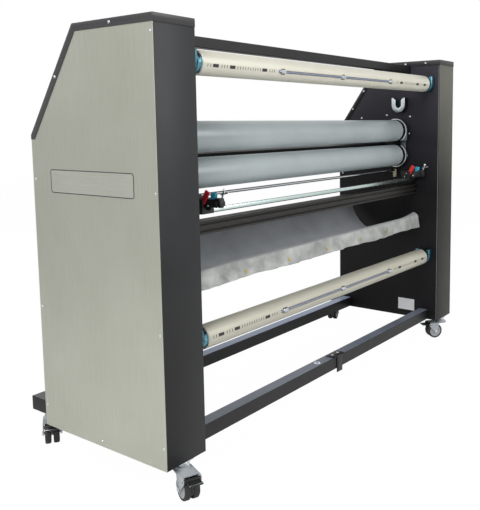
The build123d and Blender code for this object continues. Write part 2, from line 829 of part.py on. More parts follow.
control("emergency_stop", stop_offset, 2 * stop_travel + control_gap, stop_radius, stop_cap_height, 8, False)
control("speed_knob", dial_offset, control_gap, dial_radius, dial_height, 5, True)
control("direction_switch", switch_offset, control_gap, switch_radius, switch_height, 3, True)

# Power inlet on the front of the right cabinet
with BuildPart() as power_inlet:
    face_y = front_y - skin
    half_w = inlet_width / 2
    half_h = inlet_height / 2
    rim = inlet_rim + sliding_gap
    floor_y = face_y - inlet_depth + inlet_floor
    block(inlet_x - half_w, inlet_x + half_w, face_y, face_y + inlet_wall, inlet_z - half_h, inlet_z + half_h)
    block(
        inlet_x - half_w + rim, inlet_x + half_w - rim, face_y - inlet_depth, face_y,
        inlet_z - half_h + rim, inlet_z + half_h - rim,
    )
    block(
        inlet_x - half_w + rim + inlet_wall, inlet_x + half_w - rim - inlet_wall, floor_y, face_y + inlet_wall,
        inlet_z - half_h + rim + inlet_wall, inlet_z + half_h - rim - inlet_wall, Mode.SUBTRACT,
    )
    for pin_x in (inlet_x - inlet_pin_spacing, inlet_x, inlet_x + inlet_pin_spacing):
        half_pin = inlet_pin_width / 2
        half_blade = inlet_pin_height / 2
        block(
            pin_x - half_pin, pin_x + half_pin, floor_y, face_y - inlet_wall,
            inlet_z - half_blade, inlet_z + half_blade,
        )
finish(power_inlet.part, "power_inlet")

# Caster mounts: a plate, a raceway and a kingpin under each end of the feet
corners = {
    "rear_left": (-foot_x, rear_caster_y, 248.0),
    "rear_right": (foot_x, rear_caster_y, 141.0),
    "front_left": (-foot_x, front_caster_y, 235.0),
    "front_right": (foot_x, front_caster_y, 200.0),
}
fork_top_z = 2 * wheel_radius + fork_clearance + fork_sheet
head_top_z = fork_top_z + swivel_height
with BuildPart() as caster_mounts:
    for name, (x, y, heading) in corners.items():
        base = cabinet_z + (casing_sheet if y > front_y else 0)
        half = caster_plate / 2
        block(x - half, x + half, max(y - half, rear_y + skin), y + half, cabinet_z - caster_plate_sheet, base)
        raceway_height = cabinet_z - caster_plate_sheet - head_top_z - raceway_gap
        with Locations((x, y, head_top_z + raceway_gap + raceway_height / 2)):
            Cylinder(raceway_radius, raceway_height)
        pin_low = fork_top_z - fork_sheet
        pin_height = cabinet_z - caster_plate_sheet - pin_low
        with Locations((x, y, pin_low + pin_height / 2)):
            Cylinder(kingpin_radius, pin_height)
finish(caster_mounts.part, "caster_mounts")

# Casters: a fork, a twin wheel and a brake pedal at each corner
wheel_half = wheel_gap / 2 + wheel_width
fork_half = wheel_half + fork_side_gap
for name, (x, y, heading) in corners.items():
    stand = Location((x, y, 0), (0, 0, heading))
    ahead = Vector(math.cos(math.radians(heading)), math.sin(math.radians(heading)), 0)
    fork_plane = Plane(origin=(x, y, 0), x_dir=ahead, z_dir=ahead.cross(Vector(0, 0, 1)))
    with BuildPart() as fork:
        with Locations(stand):
            with Locations((0, 0, fork_top_z + swivel_height / 2)):
                Cylinder(swivel_radius, swivel_height)
        with BuildSketch(Plane.XY.offset(fork_top_z - fork_sheet)):
            with Locations(stand):
                Circle(fork_half + fork_sheet)
                with Locations(((trail + pedal_pivot_reach) / 2, 0)):
                    Rectangle(trail + pedal_pivot_reach, 2 * (fork_half + fork_sheet))
                with Locations((trail + pedal_pivot_reach, 0)):
                    Rectangle(2 * pedal_barrel_radius + 10, pedal_width + 6, mode=Mode.SUBTRACT)
        extrude(amount=fork_sheet)
        for inner in (fork_half, -fork_half - fork_sheet):
            with BuildSketch(fork_plane.offset(inner)):
                Polygon(
                    (trail - wheel_radius / 2, fork_top_z - fork_sheet),
                    (trail - axle_radius * 2.5, wheel_radius),
                    (trail, wheel_radius - axle_radius * 2.5),
                    (trail + axle_radius * 2.5, wheel_radius),
                    (trail + pedal_pivot_reach + pedal_barrel_radius, pedal_pivot_z - pedal_barrel_radius),
                    (trail + pedal_pivot_reach + pedal_barrel_radius, fork_top_z - fork_sheet),
                    align=None,
                )
                with Locations((trail + pedal_pivot_reach, pedal_pivot_z)):
                    Circle(pedal_pin_radius + running_fit, mode=Mode.SUBTRACT)
            extrude(amount=fork_sheet)
        with Locations(stand):
            with Locations((trail, 0, wheel_radius)):
                Cylinder(axle_radius, 2 * (fork_half + fork_sheet) + 3, rotation=(90, 0, 0))
            with Locations((0, 0, fork_top_z)):
                Cylinder(kingpin_radius + running_fit, 4 * swivel_height, mode=Mode.SUBTRACT)
    finish(fork.part, f"{name}_caster_fork")
    with BuildPart() as wheel:
        with Locations(stand):
            with Locations((trail, 0, wheel_radius)):
                for middle in (-wheel_half + wheel_width / 2, wheel_half - wheel_width / 2):
                    with Locations((0, middle, 0)):
                        Cylinder(wheel_radius, wheel_width, rotation=(90, 0, 0))
                Cylinder(wheel_hub_radius, 2 * wheel_half, rotation=(90, 0, 0))
                Cylinder(axle_radius + running_fit, 2 * wheel_half, rotation=(90, 0, 0), mode=Mode.SUBTRACT)
        treads = wheel.edges().filter_by(GeomType.CIRCLE).group_by(SortBy.RADIUS)[-1]
        fillet(treads, wheel_width / 8)
    finish(wheel.part, f"{name}_caster_wheel")
    with BuildPart() as pedal:
        with Locations(stand):
            with Locations((trail + pedal_pivot_reach, 0, pedal_pivot_z)):
                Cylinder(pedal_barrel_radius, 2 * (fork_half - sliding_gap), rotation=(90, 0, 0))
                Cylinder(pedal_pin_radius, 2 * (fork_half + fork_sheet), rotation=(90, 0, 0))
                with Locations((pedal_length / 2 + pedal_barrel_radius / 2, 0, 0)):
                    Box(pedal_length, pedal_width, pedal_thickness)
    finish(pedal.part, f"{name}_brake_pedal")

# Screw heads on the panels, caps, frame plates and clamp
panel_screws_yz = [
    (rear_y + 12, top_z - 50), (rear_y + 12, cabinet_z + 820), (rear_y + 12, cabinet_z + 410),
    (rear_y + 12, cabinet_z + 68), (cabinet_y, cabinet_z + 17), (front_y - 12, cabinet_z + 72),
    (front_y - 12, cabinet_z + 414), (front_y - 12, cabinet_z + 841),
]
cap_screws_yz = [(rear_y + 180, top_z - 12), (slope_y(top_z - 155, 13), top_z - 155)]
inner_cap_screws_yz = [
    (rear_y + 80, top_z - 13), (rear_y + 190, top_z - 13),
    (slope_y(top_z - 140, 13), top_z - 140), (slope_y(top_z - 233, 13), top_z - 233),
]
plate_screws_yz = [
    (cabinet_y + 1.3, cabinet_z + 1051.5), (cabinet_y - 131.5, cabinet_z + 1044),
    (cabinet_y - 127.5, cabinet_z + 957.5), (cabinet_y - 117.5, cabinet_z + 845),
    (cabinet_y + 153, cabinet_z + 1039), (cabinet_y + 273, cabinet_z + 743),
]
on_foot = (Align.CENTER, Align.CENTER, Align.MIN)
with BuildPart() as panel_screws:
    for side, hand in sides:
        for points, face_x, outward in (
            (panel_screws_yz, panel_face_x, side),
            (cap_screws_yz, outer_x, side),
            (inner_cap_screws_yz, inner_x - skin, -side),
            (plate_screws_yz, inner_x, -side),
        ):
            foot = side * face_x
            for y, z in points:
                with Locations(Location((foot, y, z), (0, 90 * outward, 0))):
                    Cone(screw_radius, screw_radius * 0.6, screw_height, align=on_foot)
    clamp_screw_y = rear_beam_y - beam_size / 2 + clamp_reach / 2
    for x in (-clamp_width / 4, clamp_width / 4):
        with Locations((x, clamp_screw_y, clamp_top + clamp_sheet)):
            Cone(screw_radius, screw_radius * 0.6, screw_height, align=on_foot)
finish(panel_screws.part, "panel_screws")
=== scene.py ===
import math
import bmesh
import bpy
from mathutils import Matrix, Vector


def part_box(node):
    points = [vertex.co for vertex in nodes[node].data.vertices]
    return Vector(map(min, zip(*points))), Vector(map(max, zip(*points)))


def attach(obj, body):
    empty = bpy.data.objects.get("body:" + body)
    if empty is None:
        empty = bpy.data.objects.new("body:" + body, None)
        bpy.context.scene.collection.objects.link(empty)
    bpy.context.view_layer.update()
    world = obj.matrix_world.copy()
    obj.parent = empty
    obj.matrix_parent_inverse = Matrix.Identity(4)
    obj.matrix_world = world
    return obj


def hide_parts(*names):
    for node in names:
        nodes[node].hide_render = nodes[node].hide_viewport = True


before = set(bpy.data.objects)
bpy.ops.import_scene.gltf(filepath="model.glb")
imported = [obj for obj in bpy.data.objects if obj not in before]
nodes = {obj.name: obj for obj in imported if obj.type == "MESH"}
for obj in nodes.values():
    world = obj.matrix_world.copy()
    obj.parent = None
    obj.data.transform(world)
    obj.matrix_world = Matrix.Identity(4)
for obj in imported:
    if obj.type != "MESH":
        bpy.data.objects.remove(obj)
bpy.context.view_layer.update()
scene = bpy.context.scene
scene.view_settings.view_transform = "Standard"


def new_object(name, data):
    """An object that is linked to the scene."""
    thing = bpy.data.objects.new(name, data)
    scene.collection.objects.link(thing)
    return thing


# The camera stands behind the left cabinet, at the height of a person's chest, and looks
# along the rollers. The photograph is a crop of a wider picture, so the lens is shifted.
eye = Vector((-2.340, -1.7663, 1.1187))
yaw, pitch, roll = 0.9544, -0.1132, -0.0092
picture_width, picture_height, sensor_size = 480, 510, 36
focal_pixels, axis_column, axis_row = 686.85, 305.0, 201.5
ahead = Vector((math.sin(yaw) * math.cos(pitch), math.cos(yaw) * math.cos(pitch), math.sin(pitch)))
level = Vector((math.cos(yaw), -math.sin(yaw), 0))
upright = level.cross(ahead)
right = level * math.cos(roll) + upright * math.sin(roll)
up = upright * math.cos(roll) - level * math.sin(roll)
camera_data = bpy.data.cameras.new("camera")
camera_data.sensor_width = sensor_size
camera_data.lens = focal_pixels / picture_height * sensor_size
camera_data.shift_x = (picture_width / 2 - axis_column) / picture_height
camera_data.shift_y = (axis_row - picture_height / 2) / picture_height
camera = new_object("camera", camera_data)
camera.matrix_world = Matrix.Translation(eye) @ Matrix((right, up, -ahead)).transposed().to_4x4()
scene.camera = camera


def start_material(name):
    """A new material with one Principled shader, its tree and the shader."""
    material = bpy.data.materials.new(name)
    material.use_nodes = True
    tree = material.node_tree
    tree.nodes.clear()
    shader = tree.nodes.new("ShaderNodeBsdfPrincipled")
    output = tree.nodes.new("ShaderNodeOutputMaterial")
    tree.links.new(shader.outputs["BSDF"], output.inputs["Surface"])
    return material, tree, shader


def tint(code):
    """A linear colour from a six-digit screen colour."""
    parts = [int(code[i:i + 2], 16) / 255 for i in (0, 2, 4)]
    return [p / 12.92 if p <= 0.04045 else ((p + 0.055) / 1.055) ** 2.4 for p in parts] + [1]


def add_node(tree, kind, settings=None, values=None):
    """A node with its settings and socket values."""
    node = tree.nodes.new(kind)
    for key, value in (settings or {}).items():
        setattr(node, key, value)
    for key, value in (values or {}).items():
        node.inputs[key].default_value = value
    return node


def wire(tree, *pairs):
    """Links each pair of an output and an input."""
    for source, socket in pairs:
        tree.links.new(source, socket)


# The studio: a white floor and a white surround that metal also mirrors. The floor keeps a
# faint shadow of the machine. Two large soft lamps stand on the camera's side, and one in front.
floor_reach = 12
floor_mesh = bpy.data.meshes.new("floor")
floor_corners = [(x * floor_reach, y * floor_reach, 0) for x, y in ((-1, -1), (1, -1), (1, 1), (-1, 1))]
floor_mesh.from_pydata(floor_corners, [], [(0, 1, 2, 3)])
floor = new_object("floor", floor_mesh)
white_floor, tree, shader = start_material("white_floor")
shader.inputs["Base Color"].default_value = (0.9, 0.9, 0.9, 1)
shader.inputs["Roughness"].default_value = 0.8
shader.inputs["Specular IOR Level"].default_value = 0.1
glow = add_node(tree, "ShaderNodeEmission")
seen = add_node(tree, "ShaderNodeLightPath")
share = add_node(tree, "ShaderNodeMath", {"operation": "MULTIPLY"}, {1: 0.985})
blend_floor = add_node(tree, "ShaderNodeMixShader")
wire(
    tree, (seen.outputs["Is Camera Ray"], share.inputs[0]), (share.outputs[0], blend_floor.inputs["Fac"]),
    (shader.outputs["BSDF"], blend_floor.inputs[1]), (glow.outputs["Emission"], blend_floor.inputs[2]),
    (blend_floor.outputs["Shader"], tree.nodes["Material Output"].inputs["Surface"]),
)
floor_mesh.materials.append(white_floor)

world = bpy.data.worlds.new("studio")
world.use_nodes = True
scene.world = world
tree = world.node_tree
sky = tree.nodes["Background"]
sky.inputs["Color"].default_value = (1, 1, 1, 1)
seen = add_node(tree, "ShaderNodeLightPath")
mirrored = add_node(tree, "ShaderNodeMath", {"operation": "MULTIPLY"}, {1: 0.75})
either = add_node(tree, "ShaderNodeMath", {"operation": "MAXIMUM"})
strength = add_node(tree, "ShaderNodeMapRange", values={"To Min": 0.42, "To Max": 1.0})
wire(
    tree, (seen.outputs["Is Glossy Ray"], mirrored.inputs[0]),
    (seen.outputs["Is Camera Ray"], either.inputs[0]), (mirrored.outputs[0], either.inputs[1]),
    (either.outputs[0], strength.inputs["Value"]),
    (strength.outputs["Result"], sky.inputs["Strength"]),
)


def soft_lamp(name, place, target, size, power):
    """A large square lamp that faces a point."""
    light = bpy.data.lights.new(name, "AREA")
    light.size = size
    light.energy = power
    lamp = new_object(name, light)
    lamp.location = place
    lamp.rotation_euler = (Vector(target) - Vector(place)).to_track_quat("-Z", "Y").to_euler()


soft_lamp("key_lamp", (-3.6, -1.2, 3.2), (0, 0, 0.8), 2.6, 150)
soft_lamp("side_lamp", (1.2, -4.2, 2.6), (0.2, 0, 0.8), 2.4, 95)
soft_lamp("front_lamp", (0.5, 4.0, 3.0), (0, 0, 0.8), 3.0, 110)


def new_group(name, inputs, outputs):
    """An empty shader node group with float or vector inputs and outputs."""
    group = bpy.data.node_groups.new(name, "ShaderNodeTree")
    for label, kind, value in inputs:
        socket = group.interface.new_socket(label, in_out="INPUT", socket_type=kind)
        socket.default_value = value
    for label, kind in outputs:
        group.interface.new_socket(label, in_out="OUTPUT", socket_type=kind)
    return group, group.nodes.new("NodeGroupInput"), group.nodes.new("NodeGroupOutput")


# Powder coat and anodising have a fine even grain, and larger faint patches where hands
# and cloths have passed. Every painted or moulded finish of the machine uses this group; on the
# catch cloth the same patches are painted crease shade and highlight.
grain_group, grain_in, grain_out = new_group(
    "fine_grain",
    [("Grains per Metre", "NodeSocketFloat", 700), ("Patches per Metre", "NodeSocketFloat", 4)],
    [("Grain", "NodeSocketFloat"), ("Patches", "NodeSocketFloat")],
)
place = add_node(grain_group, "ShaderNodeTexCoord")
grain = add_node(grain_group, "ShaderNodeTexNoise", values={"Detail": 3, "Roughness": 0.6})
patches = add_node(
    grain_group, "ShaderNodeTexNoise", values={"Detail": 4, "Roughness": 0.55, "Distortion": 0.3},
)
for texture, label, result in (
    (grain, "Grains per Metre", "Grain"), (patches, "Patches per Metre", "Patches"),
):
    wire(
        grain_group, (place.outputs["Object"], texture.inputs["Vector"]),
        (grain_in.outputs[label], texture.inputs["Scale"]),
        (texture.outputs["Fac"], grain_out.inputs[result]),
    )

# Brushed and drawn metal has long thin lines in one direction. The stretch says how many
# lines there are per metre along each axis.
lines_group, lines_in, lines_out = new_group(
    "drawn_lines",
    [("Lines per Metre", "NodeSocketVector", (900, 900, 6))],
    [("Lines", "NodeSocketFloat")],
)
place = add_node(lines_group, "ShaderNodeTexCoord")
stretch = add_node(lines_group, "ShaderNodeVectorMath", {"operation": "MULTIPLY"})
lines = add_node(lines_group, "ShaderNodeTexNoise", values={"Scale": 1, "Detail": 2, "Roughness": 0.7})
wire(
    lines_group, (place.outputs["Object"], stretch.inputs[0]),
    (lines_in.outputs["Lines per Metre"], stretch.inputs[1]),
    (stretch.outputs["Vector"], lines.inputs["Vector"]), (lines.outputs["Fac"], lines_out.inputs["Lines"]),
)


def ramp_between(tree, source, low, high, start=0.3, end=0.7):
    """Maps a mask between two numbers."""
    span = add_node(tree, "ShaderNodeMapRange", values={
        "From Min": start, "From Max": end, "To Min": low, "To Max": high,
    })
    tree.links.new(source, span.inputs["Value"])
    return span.outputs["Result"]


def two_tone(tree, source, dark, light):
    """A colour that a mask moves from dark to light."""
    mix = add_node(tree, "ShaderNodeMix", {"data_type": "RGBA"}, {6: tint(dark), 7: tint(light)})
    tree.links.new(ramp_between(tree, source, 0, 1), mix.inputs[0])
    return mix.outputs[2]


def shaded_along(tree, colour, axis, start, end, first, last=1):
    """A colour of which one share is left at a place on an axis, and another at a second."""
    place = add_node(tree, "ShaderNodeTexCoord")
    split = add_node(tree, "ShaderNodeSeparateXYZ")
    tree.links.new(place.outputs["Object"], split.inputs[0])
    share = ramp_between(tree, split.outputs[axis], first, last, start, end)
    scaled = add_node(tree, "ShaderNodeVectorMath", {"operation": "SCALE"})
    wire(tree, (colour, scaled.inputs[0]), (share, scaled.inputs["Scale"]))
    return scaled.outputs["Vector"]


def set_relief(tree, shader, height, strength, distance):
    """Bumps a shader by a height."""
    relief = add_node(tree, "ShaderNodeBump", values={"Strength": strength, "Distance": distance})
    wire(tree, (height, relief.inputs["Height"]), (relief.outputs["Normal"], shader.inputs["Normal"]))


def coated(name, dark, light, rough, grains=700, bump=0.12, specular=0.5, fade=None):
    """Powder coat, paint or moulded plastic: patchy colour over a fine grain. A fade is painted
    light and shade: an axis, two places on it and the shares of the colour that are left there."""
    material, tree, shader = start_material(name)
    group = add_node(tree, "ShaderNodeGroup", {"node_tree": grain_group}, {"Grains per Metre": grains})
    colour = two_tone(tree, group.outputs["Patches"], dark, light)
    if fade:
        colour = shaded_along(tree, colour, *fade)
    roughness = ramp_between(tree, group.outputs["Patches"], rough - 0.06, rough + 0.06)
    wire(tree, (colour, shader.inputs["Base Color"]), (roughness, shader.inputs["Roughness"]))
    set_relief(tree, shader, group.outputs["Grain"], bump, 0.0004)
    shader.inputs["Specular IOR Level"].default_value = specular
    return material


def drawn_metal(name, dark, light, rough, stretch, bump=0.06, metallic=1.0, fade=None):
    """Brushed, drawn or turned metal: its colour and roughness follow fine lines. A fade is painted light and
    shade along an axis, given as in coated.
    """
    material, tree, shader = start_material(name)
    group = add_node(tree, "ShaderNodeGroup", {"node_tree": lines_group}, {"Lines per Metre": stretch})
    marks = add_node(tree, "ShaderNodeGroup", {"node_tree": grain_group}, {"Patches per Metre": 3})
    both = add_node(tree, "ShaderNodeMath", {"operation": "MULTIPLY_ADD"}, {1: 0.45})
    half = add_node(tree, "ShaderNodeMath", {"operation": "MULTIPLY"}, {1: 0.55})
    wire(
        tree, (marks.outputs["Patches"], both.inputs[0]), (group.outputs["Lines"], half.inputs[0]),
        (half.outputs[0], both.inputs[2]),
    )
    colour = two_tone(tree, both.outputs[0], dark, light)
    if fade:
        colour = shaded_along(tree, colour, *fade)
    roughness = ramp_between(tree, both.outputs[0], rough + 0.08, rough - 0.05)
    wire(tree, (colour, shader.inputs["Base Color"]), (roughness, shader.inputs["Roughness"]))
    set_relief(tree, shader, group.outputs["Lines"], bump, 0.0002)
    shader.inputs["Metallic"].default_value = metallic
    return material


def centre_of(node):
    """The middle of a CAD piece's box."""
    low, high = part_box(node)
    return (Vector(low) + Vector(high)) / 2


def wear(node, material):
    """A CAD piece that keeps its shape takes its finish."""
    mesh = nodes[node].data
    mesh.materials.clear()
    mesh.materials.append(material)


def add_piece(name, mesh, body, material, replaced=(), sharp=35):
    """A piece from a finished mesh: smooth but for its sharp edges, riding on a body."""
    mesh.shade_smooth()
    mesh.set_sharp_from_angle(angle=math.radians(sharp))
    if material is not None:
        mesh.materials.clear()
        mesh.materials.append(material)
    thing = new_object(name, mesh)
    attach(thing, body)
    if replaced:
        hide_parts(*replaced)
    return thing


def mesh_of(build, name="mesh"):
    """A mesh from a bmesh, which is freed."""
    mesh = bpy.data.meshes.new(name)
    build.to_mesh(mesh)
    build.free()
    return mesh


def break_edges(build, edges, width, segments):
    """Rounds the edges of a bmesh."""
    bmesh.ops.bevel(
        build, geom=edges, offset=width, segments=segments, profile=0.5, affect="EDGES", clamp_overlap=True,
    )


def softened(node, width, segments=2):
    """A CAD piece's mesh with its doubles merged and its sharp edges broken."""
    build = bmesh.new()
    build.from_mesh(nodes[node].data)
    bmesh.ops.remove_doubles(build, verts=build.verts, dist=1e-5)
    bmesh.ops.dissolve_limit(build, angle_limit=math.radians(2), verts=build.verts, edges=build.edges)
    sharp = [e for e in build.edges if len(e.link_faces) == 2 and e.calc_face_angle(0) > math.radians(30)]
    break_edges(build, sharp, width, segments)
    return mesh_of(build, node)


def dress(name, node, width, material, body="machine_frame", segments=2):
    """A CAD piece with its edges broken and its finish on, in place of the plain one."""
    add_piece(name, softened(node, width, segments), body, material, [node])


# Cabinets. Each is a black powder-coated steel box: a frame plate on the inner side, and a
# casing folded round the rear, the bottom and the front. The feet are painted square tube.
# Painted light: the plates' and feet's coat is painted darker towards the bottom and lighter at the top.
black_powder = coated("black_powder_coat", "28272e", "33323a", 0.5, 900, 0.14, 0.22, ("Z", 0.8, 1.35, 0.12))
# The two casings are lit and shaded copies of one paint: the left one is painted darker as painted shade, the
# right one lighter as painted light, and each is painted darker towards the bottom.
shaded_casing_coat = coated("casing_coat_painted_shade", "1b1c1e", "242527", 0.46, 900, 0.16, 0.3, ("Z", 0.1, 1.0, 0.3))
lit_casing_coat = coated("casing_coat_painted_light", "53534c", "616158", 0.46, 900, 0.16, 0.2, ("Z", 0.8, 1.35, 0.16))
cap_powder = coated("cap_powder_coat", "2b2b2d", "353537", 0.42, 900, 0.14)
for hand, casing_coat in (("left", shaded_casing_coat), ("right", lit_casing_coat)):
    wear(f"{hand}_frame_plate", black_powder)
    dress(f"{hand}_case", f"{hand}_casing", 0.0008, casing_coat)
dress("cabinet_feet", "base_feet", 0.0015, black_powder)

# Side panels: satin stainless sheet, brushed from top to bottom, let in behind the cap.
side_steel = drawn_metal("brushed_side_steel", "9c9e92", "b3b4a9", 0.42, (700, 900, 7), 0.05, 0.75)
for hand in ("left", "right"):
    wear(f"{hand}_side_panel", side_steel)

# Top caps: 1.5 mm sheet folded over the level top and the slope, with a flange all round
# that covers the upper edges of the panel and the plate. The folds have a small radius.
rear_y, slope_top_y, front_y = -0.3276, 0.0254, 0.2624
cap_top, slope_low = 1.425, 1.090
slope_run = (cap_top - slope_low) / (front_y - slope_top_y)
cap_flange, cap_lip, cap_skin = 0.025, 0.015, 0.0015


def slope_edge(z, inset):
    """Y on the slope at a height, set in from the cap's skin."""
    angle = math.atan(slope_run)
    return slope_top_y + (cap_top - z) / slope_run - inset / math.sin(angle)


cap_outline = [
    (rear_y, cap_top - cap_flange), (rear_y, cap_top), (slope_top_y, cap_top), (front_y, slope_low),
    (front_y, slope_low - cap_lip), (slope_edge(slope_low - cap_lip, cap_flange), slope_low - cap_lip),
    (slope_edge(cap_top - cap_flange, cap_flange), cap_top - cap_flange),
]
for side, hand in ((-1, "left"), (1, "right")):
    build = bmesh.new()
    near = [build.verts.new((side * 0.8535, y, z)) for y, z in cap_outline]
    far = [build.verts.new((side * 1.020, y, z)) for y, z in cap_outline]
    build.faces.new(near)
    build.faces.new(far[::-1])
    for i in range(4):
        build.faces.new((near[i], far[i], far[i + 1], near[i + 1]))
    bmesh.ops.recalc_face_normals(build, faces=build.faces)
    folds = [e for e in build.edges if len(e.link_faces) == 2]
    break_edges(build, folds, 0.0022, 3)
    outward = build.faces[:]
    bmesh.ops.recalc_face_normals(build, faces=outward)
    if sum(f.normal.z * f.calc_area() for f in outward) < 0:
        bmesh.ops.reverse_faces(build, faces=outward)
    cap = add_piece(
        f"{hand}_cap", mesh_of(build), "machine_frame", cap_powder, [f"{hand}_top_cap"], 50,
    )
    sheet_thickness = cap.modifiers.new("skin", "SOLIDIFY")
    sheet_thickness.thickness = cap_skin
    sheet_thickness.offset = -1
    sheet_thickness.use_even_offset = True


def turned(profile, centre, axis="X", segments=72, loop=False, side=1):
    """A turned mesh: profile is a list of (along, radius) from a centre, along an axis, and
    side -1 mirrors it. A loop closes on itself, as a tube's wall does; otherwise the ends are
    closed flat."""
    build = bmesh.new()
    rings = []
    for along, radius in profile:
        along *= side
        ring = []
        for i in range(segments if radius > 1e-6 else 1):
            a = 2 * math.pi * i / segments
            across = (radius * math.cos(a), radius * math.sin(a))
            place = {
                "X": (along, across[0], across[1]),
                "Y": (across[1], along, across[0]),
                "Z": (across[0], across[1], along),
            }[axis]
            ring.append(build.verts.new(Vector(centre) + Vector(place)))
        rings.append(ring)
    pairs = list(zip(rings, rings[1:])) + ([(rings[-1], rings[0])] if loop else [])
    for one, two in pairs:
        for i in range(segments):
            a, b = i, (i + 1) % segments
            corners = [one[a % len(one)], one[b % len(one)], two[b % len(two)], two[a % len(two)]]
            corners = list(dict.fromkeys(corners))
            if len(corners) > 2:
                build.faces.new(corners)
    if not loop:
        for ring in (rings[0], rings[-1]):
            if len(ring) > 1:
                build.faces.new(ring)
    bmesh.ops.recalc_face_normals(build, faces=build.faces)
    return mesh_of(build)


def rod_line(low, high, radius):
    """The profile of a plain rod or disc."""
    return [(low, 0.0), (low, radius), (high, radius), (high, 0.0)]


def joined(meshes):
    """Several meshes as one, each with its own material if it has one."""
    build = bmesh.new()
    finishes = []
    for mesh in meshes:
        material = mesh.materials[0] if mesh.materials else None
        if material is not None and material not in finishes:
            finishes.append(material)
        start = len(build.faces)
        build.from_mesh(mesh)
        build.faces.ensure_lookup_table()
        for face in build.faces[start:]:
            face.material_index = finishes.index(material) if material is not None else 0
        bpy.data.meshes.remove(mesh)
    result = mesh_of(build)
    for material in finishes:
        result.materials.append(material)
    return result


def finished(mesh, material):
    """A mesh with its own material, ready to be joined to others."""
    mesh.materials.clear()
    mesh.materials.append(material)
    return mesh


def boxed(low, high, width=0.0, segments=2):
    """A block between two corners with broken edges."""
    build = bmesh.new()
    bmesh.ops.create_cube(build, size=1)
    low, high = Vector(low), Vector(high)
    for v in build.verts:
        v.co = Vector(((low + high) / 2)[i] + v.co[i] * (high - low)[i] for i in range(3))
    if width:
        break_edges(build, build.edges[:], width, segments)
    return mesh_of(build)


def cut_away(mesh, cutter):
    """A mesh with a cutter's space removed from it."""
    whole, tool = new_object("whole", mesh), new_object("tool", cutter)
    difference = whole.modifiers.new("cut", "BOOLEAN")
    difference.object = tool
    difference.solver = "EXACT"
    result = bpy.data.meshes.new_from_object(whole.evaluated_get(bpy.context.evaluated_depsgraph_get()))
    for thing in (whole, tool):
        bpy.data.objects.remove(thing)
    return result


# Folded edges: each plate's rear edge is turned in, and a strip of lighter grey along the fold is a painted
# highlight where it catches the light.
edge_highlight_grey = coated("folded_edge_painted_highlight", "5e6062", "6e7072", 0.4, 700, 0.1)
edges = []
for side, hand in ((-1, "left"), (1, "right")):
    low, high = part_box(f"{hand}_frame_plate")
    inner = low.x if side > 0 else high.x
    near, far = sorted((inner - side * 0.0008, inner + side * 0.0004))
    strip = boxed((near, low.y + 0.002, low.z + 0.004), (far, low.y + 0.005, 1.394))
    edges.append(finished(strip, edge_highlight_grey))
add_piece("plate_edges", joined(edges), "machine_frame", None)

# Laminating rollers: a steel tube with turned journals, and a silicone sleeve ground true
# and smooth, blue-grey, with a soft shine. The sleeves' ends are broken by a small round.
roller_y, upper_z = centre_of("upper_roller_core").yz
lower_z = centre_of("lower_roller_core").z
silicone = coated("grey_silicone", "90999b", "a0a9ab", 0.36, 260, 0.05)
silicone_shader = silicone.node_tree.nodes["Principled BSDF"]
silicone_shader.inputs["Coat Weight"].default_value = 0.12
silicone_shader.inputs["Coat Roughness"].default_value = 0.3
turned_steel = drawn_metal("turned_steel", "8f959a", "c3c8cb", 0.28, (900, 60, 60), 0.05)
for name, axis_z, body in (("upper", upper_z, "upper_roller"), ("lower", lower_z, "lower_roller")):
    half, radius, core = 0.795, 0.0535, 0.0435
    sleeve = [
        (-half, core), (-half, radius - 0.0016), (-half + 0.0005, radius - 0.0005),
        (-half + 0.0016, radius), (-0.4, radius), (0, radius), (0.4, radius), (half - 0.0016, radius),
        (half - 0.0005, radius - 0.0005), (half, radius - 0.0016), (half, core),
    ]
    add_piece(
        f"{name}_sleeve", turned(sleeve, (0, roller_y, axis_z), "X", 128, loop=True), body, silicone,
        [f"{name}_roller_sleeve"],
    )
    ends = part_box(f"{name}_roller_core")
    core_line = [
        (ends[0].x, 0.0135), (ends[0].x + 0.0015, 0.015), (-0.8045, 0.015), (-0.8045, 0.0195),
        (-0.799, 0.0195), (-0.799, core - 0.0015), (-0.7975, core), (0.7975, core),
        (0.799, core - 0.0015), (0.799, 0.0195), (0.8045, 0.0195), (0.8045, 0.015),
        (ends[1].x - 0.0015, 0.015), (ends[1].x, 0.0135),
    ]
    add_piece(
        f"{name}_core", turned(core_line, (0, roller_y, axis_z), "X", 96), body, turned_steel,
        [f"{name}_roller_core"],
    )
